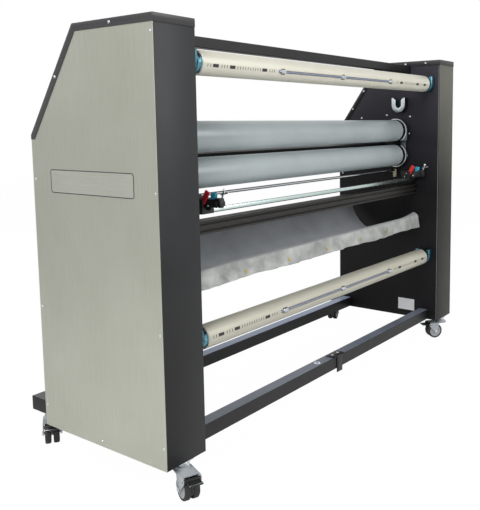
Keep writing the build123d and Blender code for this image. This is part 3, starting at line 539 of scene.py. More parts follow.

# Bearing blocks: zinc-plated castings, one over the other like an eight. Each has a bright
# turned rim around the roller's end and a bearing ring round the journal. The zinc is painted
# near black towards the front of the blocks, a painted shade for the gap between the rollers.
bright_rim = drawn_metal("bright_turned_rim", "b9bfc2", "dfe3e5", 0.2, (900, 60, 60), 0.03)
polished_rim = drawn_metal("polished_rim", "dde2e4", "f7f9f9", 0.16, (900, 60, 60), 0.02, 0.7)
# Painted shade: the block zinc darkens to near black towards the front.
block_painted_shade = ("Y", roller_y - 0.034, roller_y - 0.008, 1, 0.04)
block_zinc_painted_shade = drawn_metal("block_zinc_painted_shade", "5f6b71", "8d979b", 0.36, (90, 90, 90), 0.10, 1.0, block_painted_shade)
seal_and_recess_shade = coated("black_seal_and_painted_shade", "060607", "0c0c0e", 0.55, 700, 0.08, 0.2)
black_paint = coated("black_satin_paint", "0f0f10", "17171a", 0.38, 600, 0.07, 0.32)
for name, axis_z, body in (("upper", upper_z, "upper_carrier"), ("lower", lower_z, "machine_frame")):
    dress(f"{name}_blocks", f"{name}_bearing_blocks", 0.0015, block_zinc_painted_shade, body)
    rings = []
    flat = 0.0499 if name == "lower" else -0.0499
    flat_low, flat_high = sorted((flat, flat * 1.5))
    rim = [
        (0.812, 0.0562), (0.8112, 0.0570), (0.8112, 0.0592), (0.812, 0.0600), (0.8182, 0.0600),
        (0.8182, 0.0562),
    ]
    race = [(0.8135, 0.0157), (0.8135, 0.0225), (0.8145, 0.024), (0.8182, 0.024), (0.8182, 0.0157)]
    # The seal disc is near black: partly the seal's own black, partly painted shade in the gap round the
    # roller's end.
    seal = [(0.8172, 0.0245), (0.8172, 0.0562), (0.8182, 0.0562), (0.8182, 0.0245)]
    for side in (-1, 1):
        for line, material in ((rim, polished_rim), (race, bright_rim), (seal, seal_and_recess_shade)):
            ring = turned(line, (0, roller_y, axis_z), "X", 72, True, side)
            if line is not race:
                ring = cut_away(ring, boxed(
                    (-0.9, roller_y - 0.07, axis_z + flat_low), (0.9, roller_y + 0.07, axis_z + flat_high),
                ))
            rings.append(finished(ring, material))
    add_piece(f"{name}_block_rims", joined(rings), body, None)

# Lift cylinders: clear anodised tubes with end caps, bolted to the plates behind them.
clear_anodised = drawn_metal("clear_anodised", "a4acab", "c6cecc", 0.34, (40, 900, 900), 0.04)
dress("lift_cylinder_pair", "lift_cylinders", 0.0015, clear_anodised)

# Gear motor, supply brake and take-up motor: grey enamelled housings behind the right plate.
enamel = coated("grey_enamel", "4a4f52", "5b6063", 0.38, 500, 0.1)
for node in ("gear_motor", "shaft_drives"):
    dress(f"{node}_housing", node, 0.002, enamel)

# Supply and take-up shafts: drawn aluminium tube, champagne anodised, grooved for a grip bar
# and printed with a scale of half inches and film widths. The marks are left plain.
champagnes = {
    "supply": drawn_metal("champagne_anodised", "c2bfb0", "d6d4c7", 0.44, (8, 500, 500), 0.03, 0.4),
    "take_up": drawn_metal("grey_champagne_anodised", "a9a798", "bdbbae", 0.44, (8, 500, 500), 0.03, 0.4),
}
ink = coated("black_ink", "1b1b1c", "242425", 0.6, 900, 0.02)
blued = drawn_metal("blued_steel", "828ba6", "a6b0c8", 0.3, (40, 600, 600), 0.04)
teal_zinc = drawn_metal("blue_zinc", "2c6272", "79aebd", 0.3, (60, 60, 60), 0.06)
grip_angles = {"supply": 193.0, "take_up": 175.0}
shafts = [(name, *centre_of(f"{name}_shaft_hubs").yz, turn) for name, turn in grip_angles.items()]
grip_places = (-0.395, 0, 0.395)


def along_shaft(degrees, depth, y, z):
    """A point beside a shaft's axis, turned by an angle about it."""
    a = math.radians(degrees)
    return y + depth * math.cos(a), z + depth * math.sin(a)


shaft_radius = 0.039
for name, y, z, turn in shafts:
    half, radius, wall = 0.795, shaft_radius, 0.012
    wall_line = [
        (-half, radius - wall), (-half, radius - 0.002), (-half + 0.002, radius), (half - 0.002, radius),
        (half, radius - 0.002), (half, radius - wall),
    ]
    tube_mesh = turned(wall_line, (0, y, z), "X", 96, loop=True)
    hollows = [boxed((-0.419, 0.0340, -0.0052), (0.419, 0.05, 0.0052))]
    for middle in grip_places:
        hollows.append(boxed((middle - 0.013, 0.0290, -0.0102), (middle + 0.013, 0.05, 0.0102)))
    for hollow in hollows:
        hollow.transform(Matrix.Translation((0, y, z)) @ Matrix.Rotation(math.radians(turn), 4, "X"))
        tube_mesh = cut_away(tube_mesh, hollow)
    add_piece(
        f"{name}_tube", tube_mesh, f"{name}_shaft", champagnes[name],
        [f"{name}_shaft_tube"],
    )
    bar_y, bar_z = along_shaft(turn, 0.0375, y, z)
    bar_line = [
        (-0.418, 0.0), (-0.418, 0.0025), (-0.4175, 0.003), (0.4175, 0.003), (0.418, 0.0025), (0.418, 0.0),
    ]
    parts = [finished(turned(bar_line, (0, bar_y, bar_z), "X", 32), blued)]
    for middle in grip_places:
        line = [
            (middle - 0.012, 0.0032), (middle - 0.012, 0.0070), (middle - 0.0110, 0.008),
            (middle + 0.0110, 0.008), (middle + 0.012, 0.0070), (middle + 0.012, 0.0032),
        ]
        parts.append(finished(turned(line, (0, bar_y, bar_z), "X", 40, loop=True), bright_rim))
    add_piece(f"{name}_grips", joined(parts), f"{name}_grip", None, [f"{name}_grip_bar"])
    # The hubs' zinc is painted dark towards the top, a painted shade.
    hub_painted_shade = ("Z", z + 0.002, z + 0.020, 1, 0.05)
    hub_zinc_painted_shade = drawn_metal(f"{name}_hub_zinc_painted_shade", "346f7f", "84b8c6", 0.3, (60, 60, 60), 0.06, 1.0, hub_painted_shade)
    hub_parts = []
    for side in (-1, 1):
        disc = [
            (0.795, 0.0), (0.795, 0.0315), (0.7965, 0.033), (0.8095, 0.033), (0.811, 0.0315), (0.811, 0.024),
            (0.8085, 0.022), (0.8085, 0.017), (0.812, 0.015), (0.852, 0.015), (0.852, 0.0),
        ]
        hub_parts.append(finished(turned(disc, (0, y, z), "X", 72, side=side), hub_zinc_painted_shade))
        edge = [(0.7948, 0.0335), (0.7948, 0.0366), (0.7956, 0.0366), (0.7956, 0.0335)]
        hub_parts.append(finished(
            turned(edge, (0, y, z), "X", 72, True, side), polished_rim,
        ))
        # A near-black ring in each hub's recess is a painted shade.
        recess = [(0.8112, 0.0245), (0.8112, 0.030), (0.8088, 0.030), (0.8088, 0.0245)]
        hub_parts.append(finished(
            turned(recess, (0, y, z), "X", 72, True, side), seal_and_recess_shade,
        ))
    tenon = [(0.851, 0.0), (0.851, 0.010), (0.882, 0.010), (0.883, 0.009), (0.883, 0.0)]
    hub_parts.append(finished(turned(tenon, (0, y, z), "X", 40), turned_steel))
    add_piece(f"{name}_hubs", joined(hub_parts), f"{name}_shaft", None, [f"{name}_shaft_hubs"])

# The printed scale: a tick each half inch and a plain block at each film width, laid on the
# tube in line with the groove. The pattern repeats along both ends of both shafts.
copies = bpy.data.node_groups.new("copies_on_points", "GeometryNodeTree")
copies.is_modifier = True
for label, kind in (
    ("Geometry", "NodeSocketGeometry"), ("Pattern", "NodeSocketObject"), ("Size", "NodeSocketFloat"),
    ("Finish", "NodeSocketMaterial"),
):
    copies.interface.new_socket(label, in_out="INPUT", socket_type=kind)
copies.interface.new_socket("Geometry", in_out="OUTPUT", socket_type="NodeSocketGeometry")
points_in = copies.nodes.new("NodeGroupInput")
copies_out = copies.nodes.new("NodeGroupOutput")
pattern_info = copies.nodes.new("GeometryNodeObjectInfo")
facing = add_node(
    copies, "GeometryNodeInputNamedAttribute", {"data_type": "FLOAT_VECTOR"}, {"Name": "facing"},
)
aligned = add_node(copies, "FunctionNodeAlignRotationToVector", {"axis": "Z"})
placed = copies.nodes.new("GeometryNodeInstanceOnPoints")
real = copies.nodes.new("GeometryNodeRealizeInstances")
finish = copies.nodes.new("GeometryNodeSetMaterial")
wire(
    copies, (points_in.outputs["Geometry"], placed.inputs["Points"]),
    (points_in.outputs["Pattern"], pattern_info.inputs["Object"]),
    (pattern_info.outputs["Geometry"], placed.inputs["Instance"]),
    (facing.outputs["Attribute"], aligned.inputs["Vector"]),
    (aligned.outputs["Rotation"], placed.inputs["Rotation"]),
    (points_in.outputs["Size"], placed.inputs["Scale"]),
    (placed.outputs["Instances"], real.inputs["Geometry"]),
    (real.outputs["Geometry"], finish.inputs["Geometry"]),
    (points_in.outputs["Finish"], finish.inputs["Material"]),
    (finish.outputs["Geometry"], copies_out.inputs["Geometry"]),
)


def repeated(pattern, spots, material, size=1.0):
    """Copies of a pattern mesh at spots, each a point and the way its top faces."""
    mould = new_object("mould", pattern)
    carrier = bpy.data.meshes.new("spots")
    carrier.from_pydata([point for point, way in spots], [], [])
    ways = carrier.attributes.new("facing", "FLOAT_VECTOR", "POINT")
    for i, (point, way) in enumerate(spots):
        ways.data[i].vector = way
    holder = new_object("holder", carrier)
    modifier = holder.modifiers.new("copies", "NODES")
    modifier.node_group = copies
    for item in copies.interface.items_tree:
        if item.in_out == "INPUT" and item.name in ("Pattern", "Size", "Finish"):
            modifier[item.identifier] = {"Pattern": mould, "Size": size, "Finish": material}[item.name]
    bpy.context.view_layer.update()
    result = bpy.data.meshes.new_from_object(holder.evaluated_get(bpy.context.evaluated_depsgraph_get()))
    for thing in (mould, holder):
        bpy.data.objects.remove(thing)
    result.polygons.foreach_set("material_index", [0] * len(result.polygons))
    return finished(result, material)


def printed_patch(length, width, radius):
    """A thin mark that lies on a tube of a given radius, centred on +Z."""
    build = bmesh.new()
    rows = []
    for i in range(5):
        a = (i / 4 - 0.5) * width / radius
        rows.append([
            build.verts.new((x, radius * math.sin(a), radius * math.cos(a) - radius))
            for x in (-length / 2, length / 2)
        ])
    for one, two in zip(rows, rows[1:]):
        build.faces.new((one[0], one[1], two[1], two[0]))
    return mesh_of(build)


half_inch = 0.0127
for name, y, z, turn in shafts:
    y0, z0 = along_shaft(turn, shaft_radius + 0.00015, y, z)
    way = (0, math.cos(math.radians(turn)), math.sin(math.radians(turn)))
    widths = [s * x for s in (-1, 1) for x in (0.498, 0.661, 0.739)]
    ticks = [s * (0.775 - i * half_inch) for s in (-1, 1) for i in range(27)]
    ticks = [x for x in ticks if all(abs(x - w) > 0.016 for w in widths) and abs(x) > 0.43]
    marks = [
        repeated(printed_patch(0.026, 0.0105, shaft_radius), [((x, y0, z0), way) for x in widths], ink),
        repeated(printed_patch(0.0024, 0.0105, shaft_radius), [((x, y0, z0), way) for x in ticks], ink),
    ]
    add_piece(f"{name}_scale_marks", joined(marks), f"{name}_shaft", None)

# Open cups: zinc-plated castings with a flared mouth. The cups of the two shafts are blue
# zinc outside; the empty pair for a liner shaft is bright zinc on its faces and teal in its slot,
# and its outer sides and underside are painted black as a painted shade.
liner = Vector((0, -0.1150, 1.2074))
cups = softened("shaft_saddles", 0.0012)
bright_zinc = drawn_metal("bright_zinc", "aab2b5", "dfe4e5", 0.3, (90, 90, 90), 0.1, 0.9)
for material in (bright_zinc, teal_zinc, black_paint):
    cups.materials.append(material)
for face in cups.polygons:
    offset = (face.center - liner).yz
    if offset.length > 0.07:
        face.material_index = 1
    elif abs(face.normal.x) > 0.6:
        face.material_index = 0
    # Painted shade: black on the liner cups' outer sides and underside.
    elif offset.length > 0.031 and abs(offset.x) > 0.025 or offset.y < -0.025:
        face.material_index = 2
    else:
        face.material_index = 1
add_piece("open_cups", cups, "machine_frame", None, ["shaft_saddles"])

# Cross beams: black painted square tube, welded to end plates inside the cabinets. The tops of
# the lower beams are painted paler, a painted reflection of the bright surround, and the front
# one's painted reflection dims towards its left end.
wear("top_beam", black_paint)
for node, colours, first in (
    ("front_lower_beam", ("8593b4", "a3b0c6"), 0.42), ("rear_lower_beam", ("4a4f5a", "646a76"), 1),
):
    beam = nodes[node].data
    wear(node, black_paint)
    # Paler tops: a painted reflection.
    beam.materials.append(coated(f"{node}_top", *colours, 0.38, 600, 0.07, 0.32, ("X", -0.8, 0.8, first)))
    for face in beam.polygons:
        face.material_index = 1 if face.normal.z > 0.9 else 0

# Clamp bracket on the rear beam: folded black steel with two screws. Two round stickers
# lie beside it, white with a plain blue centre.
dress("clamp_bracket", "beam_clamp", 0.0012, black_paint)
sticker_white = coated("sticker_white", "dcdedd", "ecedec", 0.4, 600, 0.02)
sticker_blue = coated("sticker_blue", "2c5c9c", "3a6cae", 0.4, 600, 0.02)
stickers = []
for x in (-0.126, 0.032):
    spot = (x, -0.2506, 0.157)
    stickers.append(finished(turned(rod_line(0.0, 0.0004, 0.013), spot, "Z", 40), sticker_white))
    stickers.append(finished(turned(rod_line(0.0003, 0.0006, 0.0075), spot, "Z", 32), sticker_blue))
add_piece("beam_stickers", joined(stickers), "machine_frame", None)

# Slitter beam and rail: a black anodised extrusion with open slots, and a clear anodised
# rail that the knife carriages slide along, raised on a foot at each end.
black_anodised = drawn_metal("black_anodised", "141311", "23211e", 0.4, (8, 400, 400), 0.05, 0.3)
wear("slitter_beam", black_anodised)
rail_bright = drawn_metal("rail_bright", "bdd3cf", "deece9", 0.24, (6, 700, 700), 0.03)
rail_y = -0.1786
rail_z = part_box("slitter_rail")[1].z - 0.016
rail = softened("slitter_rail", 0.001)
rail.materials.append(rail_bright)
rail.materials.append(black_anodised)
build = bmesh.new()
build.from_mesh(rail)
web_top = rail_z + 0.003
everything = build.verts[:] + build.edges[:] + build.faces[:]
bmesh.ops.bisect_plane(build, geom=everything, plane_co=(0, 0, web_top), plane_no=(0, 0, 1))
for face in build.faces:
    face.material_index = 1 if face.calc_center_median().z < web_top else 0
build.to_mesh(rail)
build.free()
add_piece("knife_rail", rail, "machine_frame", None, ["slitter_rail"])

# Knife carriages: black moulded blocks that straddle the rail, with a blade guard behind and
# an arm to the rear. The arm carries a red safety fin, a blue release tab, a bright tension
# lever with a white end, and a ribbed clamp knob.
moulded_black = coated("moulded_black", "101011", "1c1c1e", 0.42, 1100, 0.12, 0.35)
moulded_red = coated("moulded_red", "b01a20", "cc2a2c", 0.34, 900, 0.05)
moulded_blue = coated("moulded_blue", "1f7f99", "3397b0", 0.34, 900, 0.05)


def tilted_box(low, high, spot, angle, width=0.001):
    """A softened box turned about X and set down at a spot."""
    mesh = boxed(low, high, width)
    mesh.transform(Matrix.Translation(spot) @ Matrix.Rotation(angle, 4, "X"))
    return mesh


for hand, x in (("left", -0.683), ("right", 0.812)):
    body = f"{hand}_knife"
    dress(f"{hand}_carriage", f"{hand}_knife_carriage", 0.0015, moulded_black, body)
    arm_y, arm_z, lever_x = rail_y - 0.035, rail_z + 0.030, x + 0.004
    guard = [(0.010, 0.0), (0.010, 0.0135), (0.012, 0.0155), (0.0165, 0.0155), (0.018, 0.013), (0.018, 0.0)]
    pin = [(0.0178, 0.0), (0.0178, 0.0042), (0.0190, 0.0036), (0.0190, 0.0)]
    trims = [
        finished(turned([(x - a, r) for a, r in guard], (0, arm_y, arm_z), "X", 40), moulded_black),
        finished(turned([(x - a, r) for a, r in pin], (0, arm_y, arm_z), "X", 24), bright_rim),
        finished(tilted_box(
            (-0.004, -0.010, -0.024), (0.004, 0.010, 0.024),
            (x - 0.018, rail_y - 0.0254, rail_z + 0.058), 0.547, 0.003,
        ), moulded_red),
        finished(tilted_box(
            (-0.006, -0.011, 0.0), (0.006, 0.011, 0.026),
            (x - 0.006, rail_y - 0.052, rail_z + 0.048), 0.1, 0.003,
        ), moulded_blue),
        finished(boxed(
            (x - 0.013, rail_y - 0.084, rail_z + 0.040), (x + 0.010, rail_y - 0.060, rail_z + 0.056), 0.002,
        ), moulded_black),
        finished(tilted_box(
            (-0.0022, -0.003, 0.0), (0.0022, 0.003, 0.036),
            (lever_x, rail_y - 0.078, rail_z + 0.050), 0.35,
        ), bright_rim),
        finished(tilted_box(
            (-0.0022, -0.034, -0.002), (0.0022, 0.0, 0.002),
            (lever_x, rail_y - 0.074, rail_z + 0.066), -0.25,
        ), bright_rim),
    ]
    for down, across in ((0.0, -0.004), (0.016, 0.006)):
        trims.append(finished(turned(
            [(x - 0.0278, 0.0), (x - 0.0278, 0.003), (x - 0.0290, 0.0026), (x - 0.0290, 0.0)],
            (0, rail_y + across, rail_z + 0.040 - down), "X", 20,
        ), bright_rim))
    crown = [
        (-0.004, 0.0), (-0.004, 0.0035), (-0.002, 0.0048), (0.001, 0.0048), (0.003, 0.0032), (0.0036, 0.0),
    ]
    crown_mesh = turned(crown, (lever_x, rail_y - 0.090, rail_z + 0.085), "Z", 28)
    trims.append(finished(crown_mesh, sticker_white))
    add_piece(f"{hand}_carriage_trims", joined(trims), body, None)
    knob_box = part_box(f"{hand}_knife_knob")
    centre = ((knob_box[0].x + knob_box[1].x) / 2, knob_box[0].y, (knob_box[0].z + knob_box[1].z) / 2)
    knob_line = [
        (0.0, 0.0), (0.0, 0.010), (0.0012, 0.0125), (0.016, 0.0128), (0.0175, 0.0145), (0.0195, 0.0145),
        (0.020, 0.0135), (0.020, 0.004), (0.0335, 0.004), (0.0335, 0.0),
    ]
    rib_spots = []
    for i in range(18):
        a = 2 * math.pi * i / 18
        way = (math.sin(a), 0, math.cos(a))
        rib_spots.append(((centre[0] + 0.0122 * way[0], centre[1] + 0.009, centre[2] + 0.0122 * way[2]), way))
    rib = boxed((-0.0011, -0.0065, 0.0), (0.0011, 0.0065, 0.0024), 0.0005, 1)
    ribs = repeated(rib, rib_spots, moulded_black)
    add_piece(
        f"{hand}_clamp_knob", joined([finished(turned(knob_line, centre, "Y", 48), moulded_black), ribs]),
        f"{hand}_knife_clamp", None, [f"{hand}_knife_knob"],
    )

# Guide rod: a polished chrome bar with a cream plastic sleeve hanging at each end.
chrome = drawn_metal("polished_chrome", "c9cdd0", "e6e9ea", 0.12, (6, 300, 300), 0.01)
cream = coated("cream_plastic", "b5ad92", "c9c2aa", 0.45, 800, 0.05)
rod_y, rod_z = -0.088, 0.873
rod_parts = [finished(turned(rod_line(-0.855, 0.855, 0.006), (0, rod_y, rod_z), "X", 32), chrome)]
for x in (-0.838, 0.838):
    line = [
        (-0.034, 0.0), (-0.034, 0.0075), (-0.0325, 0.009), (-0.012, 0.009), (-0.010, 0.0082),
        (0.0045, 0.0082), (0.006, 0.0065), (0.006, 0.0),
    ]
    rod_parts.append(finished(turned(line, (x, rod_y, rod_z), "Z", 36), cream))
add_piece("chrome_guide_rod", joined(rod_parts), "machine_frame", None, ["guide_rod"])

# Catch tray: coated cloth hung as a hammock over two steel bars. A hem hangs outside the rear
# bar, creased and held by brass snaps, and its right end has slipped and stands out.
weave_group, weave_in, weave_out = new_group(
    "plain_weave", [("Threads per Metre", "NodeSocketFloat", 900)], [("Threads", "NodeSocketFloat")],
)
cloth_place = add_node(weave_group, "ShaderNodeUVMap", {"uv_map": "cloth"})
scaled = add_node(weave_group, "ShaderNodeVectorMath", {"operation": "SCALE"})
split = add_node(weave_group, "ShaderNodeSeparateXYZ")
wire(
    weave_group, (cloth_place.outputs["UV"], scaled.inputs[0]),
    (scaled.outputs["Vector"], split.inputs["Vector"]),
    (weave_in.outputs["Threads per Metre"], scaled.inputs["Scale"]),
)
waves = []
for axis in ("X", "Y"):
    wave = add_node(weave_group, "ShaderNodeMath", {"operation": "SINE"})
    weave_group.links.new(split.outputs[axis], wave.inputs[0])
    waves.append(wave)
crossed = add_node(weave_group, "ShaderNodeMath", {"operation": "MULTIPLY"})
wire(
    weave_group, (waves[0].outputs[0], crossed.inputs[0]), (waves[1].outputs[0], crossed.inputs[1]),
    (crossed.outputs[0], weave_out.inputs["Threads"]),
)


def cloth_material(name, dark, light, rough, patches, fade):
    """Coated polyester: a fine weave, soft patches of painted crease shade and highlight in its colour, a
    painted shade along one axis, and a faint sheen.
    """
    material, tree, shader = start_material(name)
    group = add_node(tree, "ShaderNodeGroup", {"node_tree": grain_group}, {
        "Grains per Metre": 40, "Patches per Metre": patches,
    })
    weave = add_node(tree, "ShaderNodeGroup", {"node_tree": weave_group}, {"Threads per Metre": 4200})
    colour = two_tone(tree, group.outputs["Patches"], dark, light)
    roughness = ramp_between(tree, group.outputs["Grain"], rough - 0.05, rough + 0.07)
    relief = add_node(tree, "ShaderNodeBump", values={"Strength": 0.25, "Distance": 0.0003})
    creases = add_node(tree, "ShaderNodeBump", values={"Strength": 0.22, "Distance": 0.004})
    wire(
        tree, (shaded_along(tree, colour, *fade), shader.inputs["Base Color"]),
        (roughness, shader.inputs["Roughness"]), (weave.outputs["Threads"], relief.inputs["Height"]),
        (group.outputs["Grain"], creases.inputs["Height"]), (relief.outputs["Normal"], creases.inputs["Normal"]),
        (creases.outputs["Normal"], shader.inputs["Normal"]),
    )
    shader.inputs["Sheen Weight"].default_value = 0.15
    shader.inputs["Sheen Roughness"].default_value = 0.5
    return material


# Painted shade: the tray cloth darkens higher up towards the bars, and the hem darkens towards its right end.
tray_cloth = cloth_material("coated_cloth", "a4a8ac", "b9bdc1", 0.62, 7, ("Z", 0.57, 0.68, 1, 0.4))
hem_cloth = cloth_material("hem_cloth", "7f8280", "b8bab7", 0.58, 15, ("X", -0.8, 0.8, 1, 0.7))
rear_bar, front_bar, lowest = Vector((-0.2126, 0.636)), Vector((0.165, 0.690)), Vector((-0.0356, 0.545))
loop_radius, hem_drop, front_drop, half_width = 0.0126, 0.050, 0.038, 0.803
snap_places, snap_share, cloth_half = (-0.533, -0.280, -0.016, 0.241, 0.510), 0.61, 0.0006
slip_start, slip_flare = 0.64, 1.35


def arc_between(one, middle, two, steps):
    """Points on the circle through three points, from the first to the last."""
    a, b = (middle - one) * 2, (two - one) * 2
    p, q = middle.length_squared - one.length_squared, two.length_squared - one.length_squared
    whole = a.x * b.y - a.y * b.x
    hub = Vector(((p * b.y - q * a.y) / whole, (a.x * q - b.x * p) / whole))
    start = math.atan2(one.y - hub.y, one.x - hub.x)
    sweep = (start - math.atan2(two.y - hub.y, two.x - hub.x)) % (2 * math.pi)
    radius = (one - hub).length
    angles = [start - sweep * i / steps for i in range(steps + 1)]
    return [(hub.x + radius * math.cos(t), hub.y + radius * math.sin(t)) for t in angles]


def over_bar(bar):
    """Points of the half loop that lies over a bar, from its front to its rear."""
    angles = [math.pi * i / 8 for i in range(9)]
    return [(bar.x + loop_radius * math.cos(a), bar.y + loop_radius * math.sin(a)) for a in angles]


front_rows, hem_rows = 6, 14
reach = Vector((loop_radius, 0))
stations = [
    (front_bar.x + loop_radius, front_bar.y - front_drop * (1 - i / front_rows)) for i in range(front_rows + 1)
]
stations += over_bar(front_bar)[1:]
belly_start = len(stations)
stations += arc_between(front_bar - reach, lowest, rear_bar + reach, 40)[1:-1]
belly_end = len(stations)
stations += over_bar(rear_bar)
hem_start = len(stations)
for i in range(1, hem_rows + 1):
    stations.append((rear_bar.x - loop_radius, rear_bar.y - hem_drop * i / hem_rows))


def crease(x, depth):
    """The hem's folds at a point: long and soft, and flatter at the snaps."""
    fold = 0.0042 * math.sin(17 * x + 0.6) + 0.0030 * math.sin(41 * x - 1.1 + 9 * depth)
    fold += 0.0018 * math.sin(83 * x + 2.0 - 22 * depth) + 0.0010 * math.sin(139 * x + 31 * depth)
    fold += 0.0024 * math.sin(52 * x - 70 * depth)
    gather = sum(math.exp(-((x - s) / 0.035) ** 2) for s in snap_places)
    return fold * (1 - 0.55 * gather)


def hem_stand(x, share):
    """How far the hem stands out at a share of its drop."""
    return 0.0065 * share + crease(x, share * hem_drop) * share ** 0.8


columns = 220
build = bmesh.new()
uv = build.loops.layers.uv.new("cloth")
rows = []
travel = [0.0]
for one, two in zip(stations, stations[1:]):
    travel.append(travel[-1] + math.dist(one, two))
for row, (y, z) in enumerate(stations):
    line = []
    for i in range(columns + 1):
        x = -half_width + 2 * half_width * i / columns
        dy, dz = 0.0, 0.0
        slip = max(0.0, (x - slip_start) / (half_width - slip_start)) ** 2
        if row > belly_end:
            flare = slip_flare * slip * min(1.0, (row - belly_end) / 4)
            dy += flare * (max(y, rear_bar.x - loop_radius) - rear_bar.x)
            dz += flare * max(0.0, z - rear_bar.y)
        if row >= hem_start:
            share = (row - hem_start + 1) / hem_rows
            dy -= max(hem_stand(x, share) - 0.006 * slip * share, 0.0008)
            dz += 0.004 * slip * share + 0.0022 * math.sin(11 * x + 0.4) * share
        elif belly_end > row > belly_start:
            middle = math.sin(math.pi * (row - belly_start) / (belly_end - 1 - belly_start))
            dz += middle * (0.0025 * math.sin(5.2 * x + 1.3) + 0.0012 * math.sin(13.1 * x + 0.31 * row))
        line.append(build.verts.new((x, y + dy, z + dz)))
    rows.append(line)
for r, (one, two) in enumerate(zip(rows, rows[1:])):
    for i in range(columns):
        face = build.faces.new((one[i], one[i + 1], two[i + 1], two[i]))
        face.material_index = 1 if r >= hem_start - 3 else 0
        for loop, (a, b) in zip(face.loops, ((i, r), (i + 1, r), (i + 1, r + 1), (i, r + 1))):
            loop[uv].uv = (2 * half_width * a / columns, travel[b])
tray_mesh = mesh_of(build)
tray_mesh.materials.append(tray_cloth)
tray_mesh.materials.append(hem_cloth)
tray = add_piece("catch_cloth", tray_mesh, "machine_frame", None, ["catch_sheet"], 80)
cloth_body = tray.modifiers.new("cloth_thickness", "SOLIDIFY")
cloth_body.thickness = 2 * cloth_half
cloth_body.offset = 0

brass = drawn_metal("brass_snap", "a88f4a", "d2bd7c", 0.3, (200, 200, 200), 0.03)
snap_line = [
    (0.0, 0.0), (0.0, 0.0068), (0.0010, 0.0072), (0.0016, 0.0064), (0.0016, 0.0042), (0.0034, 0.0036),
    (0.0040, 0.0026), (0.0042, 0.0),
]
snap_spots = []
for x in snap_places:
    y = rear_bar.x - loop_radius - hem_stand(x, snap_share) - cloth_half
    snap_spots.append(((x, y, rear_bar.y - snap_share * hem_drop), (0, -1, 0)))
snaps = repeated(turned(snap_line, (0, 0, 0), "Z", 20), snap_spots, brass)
add_piece("hem_snaps", snaps, "machine_frame", None)

# Tray bars: ground steel bars pushed into the plates.
bar_parts = []
for y, z in (rear_bar, front_bar):
    bar_parts.append(turned(rod_line(-0.855, 0.855, 0.011), (0, y, z), "X", 40))
add_piece("fabric_bars", joined(bar_parts), "machine_frame", turned_steel, ["tray_bars"])

# Feed table: painted sheet folded down all round, with a rounded front nose. It tilts up on
# two pins, and rests on brackets screwed to the plates.
table_black = coated("table_black", "0e0e10", "17171a", 0.5, 700, 0.1, 0.15)
dress("tilting_table", "feed_table", 0.0008, table_black, "table")
dress("table_supports", "table_brackets", 0.0012, black_paint)

# Control panel: a dark overlay on a steel plate, on the right cabinet's slope, with a latching
# stop button in a yellow collar, a speed dial with a plain scale and a direction switch.
overlay = coated("panel_overlay", "1d1f23", "272a2e", 0.36, 1500, 0.05)
overlay_line = coated("overlay_line", "a8acb0", "bcc0c4", 0.45, 900, 0.02)
signal_yellow = coated("signal_yellow", "e0b400", "efc51c", 0.38, 900, 0.03)
signal_red = coated("signal_red", "a80f14", "c4181d", 0.28, 900, 0.03)
signal_green = coated("signal_green", "1c8a3c", "2aa84e", 0.3, 900, 0.03)
slope_angle = math.atan2(0.335, 0.237)
panel_up = Vector((0, math.sin(slope_angle), math.cos(slope_angle)))
panel_down = Vector((0, math.cos(slope_angle), -math.sin(slope_angle)))
panel_middle = Vector((0.9375, (slope_top_y + front_y) / 2, (cap_top + slope_low) / 2))
to_panel = Matrix((Vector((1, 0, 0)), panel_down * -1, panel_up)).transposed().to_4x4()


def on_panel(mesh, across, down, rise):
    """Sets a mesh that was made about Z onto the control panel."""
    place = panel_middle + Vector((across, 0, 0)) + panel_down * down + panel_up * rise
    mesh.transform(Matrix.Translation(place) @ to_panel)
    return mesh


dress("control_plate", "control_panel", 0.0006, overlay)
plate_top = 0.004
panel_marks = []
for low, high in (((-0.046, -0.112), (0.046, -0.110)), ((-0.046, 0.110), (0.046, 0.112))):
    panel_marks.append(finished(
        on_panel(boxed((low[0], low[1], 0), (high[0], high[1], 0.0003)), 0, 0, plate_top), overlay_line,
    ))
stop_down, dial_down, switch_down, controls_across = 0.080, 0.015, -0.050, 0.010
ring = [(0.0, 0.0125), (0.0, 0.0245), (0.0012, 0.0255), (0.0024, 0.0245), (0.0024, 0.0125)]
collar = on_panel(turned(ring, (0, 0, 0), "Z", 56, loop=True), controls_across, stop_down, plate_top)
panel_marks.append(finished(collar, signal_yellow))
dots = []
for down, radius, angles in ((dial_down, 0.018, range(-135, 136, 27)), (switch_down, 0.017, (-45, 0, 45))):
    middle = panel_middle + Vector((controls_across, 0, 0)) + panel_down * down
    for a in map(math.radians, angles):
        offset = Vector((math.sin(a), 0, 0)) * radius - panel_down * (math.cos(a) * radius)
        dots.append((tuple(middle + panel_up * (plate_top + 0.0002) + offset), tuple(panel_up)))
dot = turned(rod_line(0.0, 0.0002, 0.0012), (0, 0, 0), "Z", 14)
panel_marks.append(repeated(dot, dots, overlay_line))
for down, material in ((-0.090, signal_green), (-0.078, signal_yellow)):
    lens = [(0.0, 0.0), (0.0, 0.0042), (0.0012, 0.0040), (0.0024, 0.0028), (0.0028, 0.0)]
    lens_mesh = on_panel(turned(lens, (0, 0, 0), "Z", 28), controls_across, down, plate_top)
    panel_marks.append(finished(lens_mesh, material))
add_piece("panel_marks", joined(panel_marks), "machine_frame", None)

